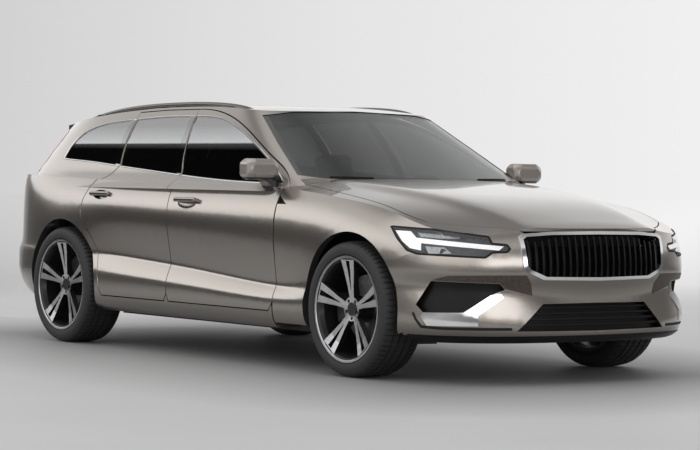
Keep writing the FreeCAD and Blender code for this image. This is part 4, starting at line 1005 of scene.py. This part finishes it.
def pad(name, node, size, place, seams, front, voxel, shape=None):
    """Leather pad with an even mesh. Its seams and its rear, away from the front axis, are held."""
    verts, faces = rounded_form(size, PAD_POWER, PAD_CELLS, place, shape)
    obj = add_mesh(name, verts, faces, MATERIALS["seat_leather"], "body")
    mod = obj.modifiers.new("remesh", "REMESH")
    mod.mode = "VOXEL"
    mod.voxel_size = voxel
    graph = bpy.context.evaluated_depsgraph_get()
    mesh = bpy.data.meshes.new_from_object(obj.evaluated_get(graph))
    obj.modifiers.clear()
    obj.data = mesh
    mesh.polygons.foreach_set("use_smooth", [True] * len(mesh.polygons))
    back = place.inverted()
    sewn, seated = [], []
    for vert in mesh.vertices:
        local = back @ vert.co
        if local[front] < -0.3 * size[front]:
            seated.append(vert.index)
            continue
        for axis, value, along, reach in seams:
            if abs(local[axis] - value) < 0.6 * voxel and abs(local[along]) < reach:
                sewn.append(vert.index)
                break
    group = obj.vertex_groups.new(name="held")
    group.add(sewn + seated, 1.0, "REPLACE")
    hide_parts(node)
    PADS.append((obj, sewn))


def swell_pads():
    """Cloth pressure swells all pads in one run, no point further than the limit."""
    scene = bpy.context.scene
    for obj, sewn in PADS:
        cloth = obj.modifiers.new("cloth", "CLOTH")
        cloth.settings.vertex_group_mass = "held"
        cloth.settings.use_pressure = True
        cloth.settings.uniform_pressure_force = PRESSURE
        cloth.settings.effector_weights.gravity = 0.0
        cloth.point_cache.frame_start = 1
        cloth.point_cache.frame_end = CLOTH_FRAMES
    for number in range(1, CLOTH_FRAMES + 1):
        scene.frame_set(number)
    graph = bpy.context.evaluated_depsgraph_get()
    for obj, sewn in PADS:
        swollen = [v.co.copy() for v in obj.evaluated_get(graph).data.vertices]
        for vert, point in zip(obj.data.vertices, swollen):
            step = point - vert.co
            if step.length > SWELL_LIMIT:
                step *= SWELL_LIMIT / step.length
            vert.co += step
        obj.modifiers.clear()
    scene.frame_set(1)


def finish_pads():
    """Seams sink in, and each pad is subdivided once."""
    for obj, sewn in PADS:
        normals = [obj.data.vertices[i].normal.copy() for i in sewn]
        for i, normal in zip(sewn, normals):
            obj.data.vertices[i].co -= normal * SEAM_DIP
        mod = obj.modifiers.new("subdivision", "SUBSURF")
        mod.levels = mod.render_levels = 1


def bolstered(axis):
    """Shape that raises the sides of a pad along one axis and lowers its middle."""
    def shape(local):
        side = max(0.0, min(1.0, (abs(local.y) - BOLSTER_START) / BOLSTER_REACH))
        if local[axis] > 0:
            local[axis] += BOLSTER_RISE * (side - 0.5)
        return local
    return shape


def flat_place(y, place):
    """Upright at (x, z), a distance y from the middle."""
    return Matrix.Translation((place[0], y, place[1]))


def back_place(y, back, piece):
    """Place of a piece up a leaning seat back."""
    tilt = Matrix.Rotation(math.radians(-back["lean"]), 4, "Y")
    return Matrix.Translation((back["x"], y, back["z"])) @ tilt @ Matrix.Translation((0, 0, back[piece]))


def rigid(name, size, power, cells, place, slot):
    """Hard piece of rounded form on the body."""
    verts, faces = rounded_form(size, power, cells, place)
    add_mesh(name, verts, faces, MATERIALS[slot], "body")


def add_front_seat(side, word):
    y = SEAT_Y * side
    pad("seat_cushion_" + word, "front_seats", CUSHION_SIZE, flat_place(y, CUSHION_PLACE), CUSHION_SEAMS, Z,
        FRONT_VOXEL, bolstered(Z))
    pad("seat_back_" + word, "front_seats", BACK_SIZE, back_place(y, FRONT_BACK, "pad"), BACK_SEAMS, X,
        FRONT_VOXEL, bolstered(X))
    pad("head_rest_" + word, "front_seats", HEAD_REST_SIZE, back_place(y, FRONT_BACK, "rest"), [], X,
        REST_VOXEL)
    for number, shift in enumerate((-POST_SHIFT, POST_SHIFT)):
        rigid("rest_post_%s_%d" % (word, number), REST_POST_SIZE, 3.0, 6,
              back_place(y + shift, FRONT_BACK, "post"), "steel")
    rigid("seat_base_" + word, BASE_SIZE, 9.0, 10, flat_place(y, BASE_PLACE), "cabin_plastic")


def add_rear_seat():
    pad("rear_cushion", "rear_seat", REAR_CUSHION_SIZE, flat_place(0, REAR_CUSHION_PLACE), REAR_CUSHION_SEAMS,
        Z, REAR_VOXEL)
    pad("rear_back", "rear_seat", REAR_BACK_SIZE, back_place(0, REAR_BACK, "pad"), REAR_BACK_SEAMS, X,
        REAR_VOXEL)
    for number, y in enumerate(REAR_REST_PLACES):
        pad("rear_rest_%d" % number, "rear_seat", REAR_REST_SIZE, back_place(y, REAR_BACK, "rest"), [], X,
            REST_VOXEL)
        rigid("rear_rest_post_%d" % number, REAR_POST_SIZE, 4.0, 6, back_place(y, REAR_BACK, "post"),
              "cabin_plastic")


for side, word, front, rear in SIDES:
    add_front_seat(side, word)
add_rear_seat()
swell_pads()
finish_pads()

# Radiator core, seen between the grille's bars
RADIATOR_SIZE = (0.030, 0.84, 0.33)
RADIATOR_PLACE = (2.20, 0.585)
verts, faces = rounded_form(RADIATOR_SIZE, 12.0, 12, flat_place(0, RADIATOR_PLACE))
add_mesh("radiator", verts, faces, MATT_BLACK, "body")

# Studio: pale floor that runs into a pale backdrop, one wide soft sky, a dim room behind the camera.
# Tones go round the compass, where 0 and 1 look along -X, 0.25 along -Y, 0.5 along +X and 0.75 along +Y.
HORIZON = ((0.0, 0.14), (0.05, 0.07), (0.11, 0.055), (0.18, 0.09), (0.23, 0.20), (0.30, 0.40), (0.40, 0.22),
           (0.48, 0.12), (0.62, 0.12), (0.72, 0.14), (0.80, 0.50), (0.87, 0.90), (0.90, 0.78),
           (0.922, 0.64), (0.955, 0.48), (0.985, 0.26))
SKY = ((0.0, 0.74), (0.05, 0.80), (0.085, 0.95), (0.20, 0.90), (0.38, 0.80), (0.60, 0.66), (0.72, 0.55),
       (0.80, 0.58), (0.92, 0.58), (1.0, 0.74))
# Height at which the sky starts, round the compass, and the sky's brightness by height
SKY_EDGE = ((0.0, 0.122), (0.20, 0.122), (0.26, 0.07), (0.54, 0.07), (0.62, 0.135), (1.0, 0.135))
SKY_FALL = ((0.0, 1.0), (0.24, 1.0), (0.36, 0.80), (0.45, 0.60), (0.58, 0.52), (0.70, 0.27), (0.79, 0.27),
            (0.87, 0.62), (1.0, 1.0))
SKY_LIGHT = 1.65
SKY_BLEND = 0.015
# Dim gap in front of the car, a more evenly lit sky on its right, and a low bright panel in front of it
ROOM_TURN = (0.40, 0.45, 0.64, 0.70)
ROOM_HEIGHT = (0.18, 0.22, 0.33, 0.38)
ROOM_LIGHT = 0.15
FLANK_TURN = (0.10, 0.14, 0.34, 0.40)
FLANK_LIGHT = 0.8
PANEL_TURN = (0.41, 0.46, 0.53, 0.57)
PANEL_HEIGHT = (0.20, 0.23)
PANEL_LIGHT = 1.6
# Floor: radii between which it fades into the backdrop, and how much further out that is except at the
# right rear; then the painted shadow, a darker ground under and round the car
FLOOR_SIZE = 180.0
NEAR_FLOOR = 3.2
FAR_FLOOR = 8.0
FLOOR_SHIFT = 2.6
SHIFT_TURN = (0.18, 0.26)
SHADOW_POOL_X = 2.25
SHADOW_POOL_Y = 0.85
SHADOW_POOL_FADE = 1.5
PAINTED_SHADOW_TONE = 0.33
FLOOR_TONES = (0.67, 0.695)


def grey(tone):
    return (tone, tone, tone)


def horizon_color(tree, vector):
    """Tone of the backdrop by compass direction, with the direction's height and compass position."""
    split = tree.nodes.new("ShaderNodeSeparateXYZ")
    link(tree, vector, split.inputs["Vector"])
    angle = math_node(tree, "ARCTAN2", split.outputs["Y"], split.outputs["X"])
    turn = span(tree, angle, 0.0, 1.0, -math.pi, math.pi)
    return stops(tree, turn, HORIZON), split.outputs["Z"], turn


def past(tree, source, limit):
    """How far a coordinate lies outside a limit on either side, or 0."""
    return largest(tree, minus(tree, math_node(tree, "ABSOLUTE", source), limit), 0.0)


def add_stage():
    """Floor with a painted shadow round the car; far off it glows like the backdrop."""
    bpy.ops.mesh.primitive_plane_add(size=FLOOR_SIZE, location=(0, 0, 0))
    floor = bpy.context.object
    floor.name = "floor"
    mat, tree, shader = new_material("floor")
    point, x, y, z, normal = place_nodes(tree)
    field = noise(tree, 0.7, 3.0)
    # Painted shadow: the floor's colour darkens under and round the car
    away = length_node(tree, past(tree, x, SHADOW_POOL_X), past(tree, y, SHADOW_POOL_Y))
    painted_shadow = span(tree, away, 1.0, 0.0, 0.0, SHADOW_POOL_FADE)
    pale = ramp(tree, field.outputs["Fac"], *(grey(tone) for tone in FLOOR_TONES))
    link(tree, mixed(tree, painted_shadow, pale, grey(PAINTED_SHADOW_TONE)), shader.inputs["Base Color"])
    shader.inputs["Roughness"].default_value = 0.6
    tone, height, turn = horizon_color(tree, point)
    glow = tree.nodes.new("ShaderNodeEmission")
    link(tree, tone, glow.inputs["Color"])
    shift = span(tree, turn, 0.0, FLOOR_SHIFT, *SHIFT_TURN)
    reach = minus(tree, length_node(tree, x, y), shift)
    path = tree.nodes.new("ShaderNodeLightPath")
    seen = largest(tree, path.outputs["Is Camera Ray"], path.outputs["Is Glossy Ray"])
    seen = largest(tree, seen, path.outputs["Is Transmission Ray"])
    far = times(tree, span(tree, reach, 0.0, 1.0, NEAR_FLOOR, FAR_FLOOR), seen)
    mix = tree.nodes.new("ShaderNodeMixShader")
    link(tree, far, mix.inputs["Fac"])
    link(tree, shader.outputs["BSDF"], mix.inputs[1])
    link(tree, glow.outputs["Emission"], mix.inputs[2])
    link(tree, mix.outputs["Shader"], tree.nodes["Material Output"].inputs["Surface"])
    floor.data.materials.append(mat)


def add_world():
    """Backdrop tone near the horizon, and above it a sky that dims with height."""
    world = bpy.data.worlds.new("world")
    bpy.context.scene.world = world
    world.use_nodes = True
    tree = world.node_tree
    back = tree.nodes["Background"]
    coords = tree.nodes.new("ShaderNodeTexCoord")
    tone, height, turn = horizon_color(tree, coords.outputs["Generated"])
    climb = minus(tree, height, stops(tree, turn, SKY_EDGE))
    sky = span(tree, climb, 0.0, 1.0, -SKY_BLEND, SKY_BLEND)
    room = times(tree, band(tree, turn, *ROOM_TURN), band(tree, height, *ROOM_HEIGHT))
    flank = times(tree, band(tree, turn, *FLANK_TURN), FLANK_LIGHT)
    panel = times(tree, band(tree, turn, *PANEL_TURN), span(tree, height, 1.0, 0.0, *PANEL_HEIGHT))
    fall = largest(tree, stops(tree, height, SKY_FALL), flank)
    fall = math_node(tree, "ADD", fall, times(tree, panel, PANEL_LIGHT))
    fall = times(tree, fall, span(tree, room, SKY_LIGHT, ROOM_LIGHT * SKY_LIGHT))
    light = tree.nodes.new("ShaderNodeVectorMath")
    light.operation = "SCALE"
    link(tree, stops(tree, turn, SKY), light.inputs[0])
    link(tree, fall, light.inputs["Scale"])
    link(tree, mixed(tree, sky, tone, light.outputs["Vector"]), back.inputs["Color"])
    back.inputs["Strength"].default_value = 1.0


add_camera()
add_stage()
add_world()
bpy.context.scene.view_settings.view_transform = "Standard"
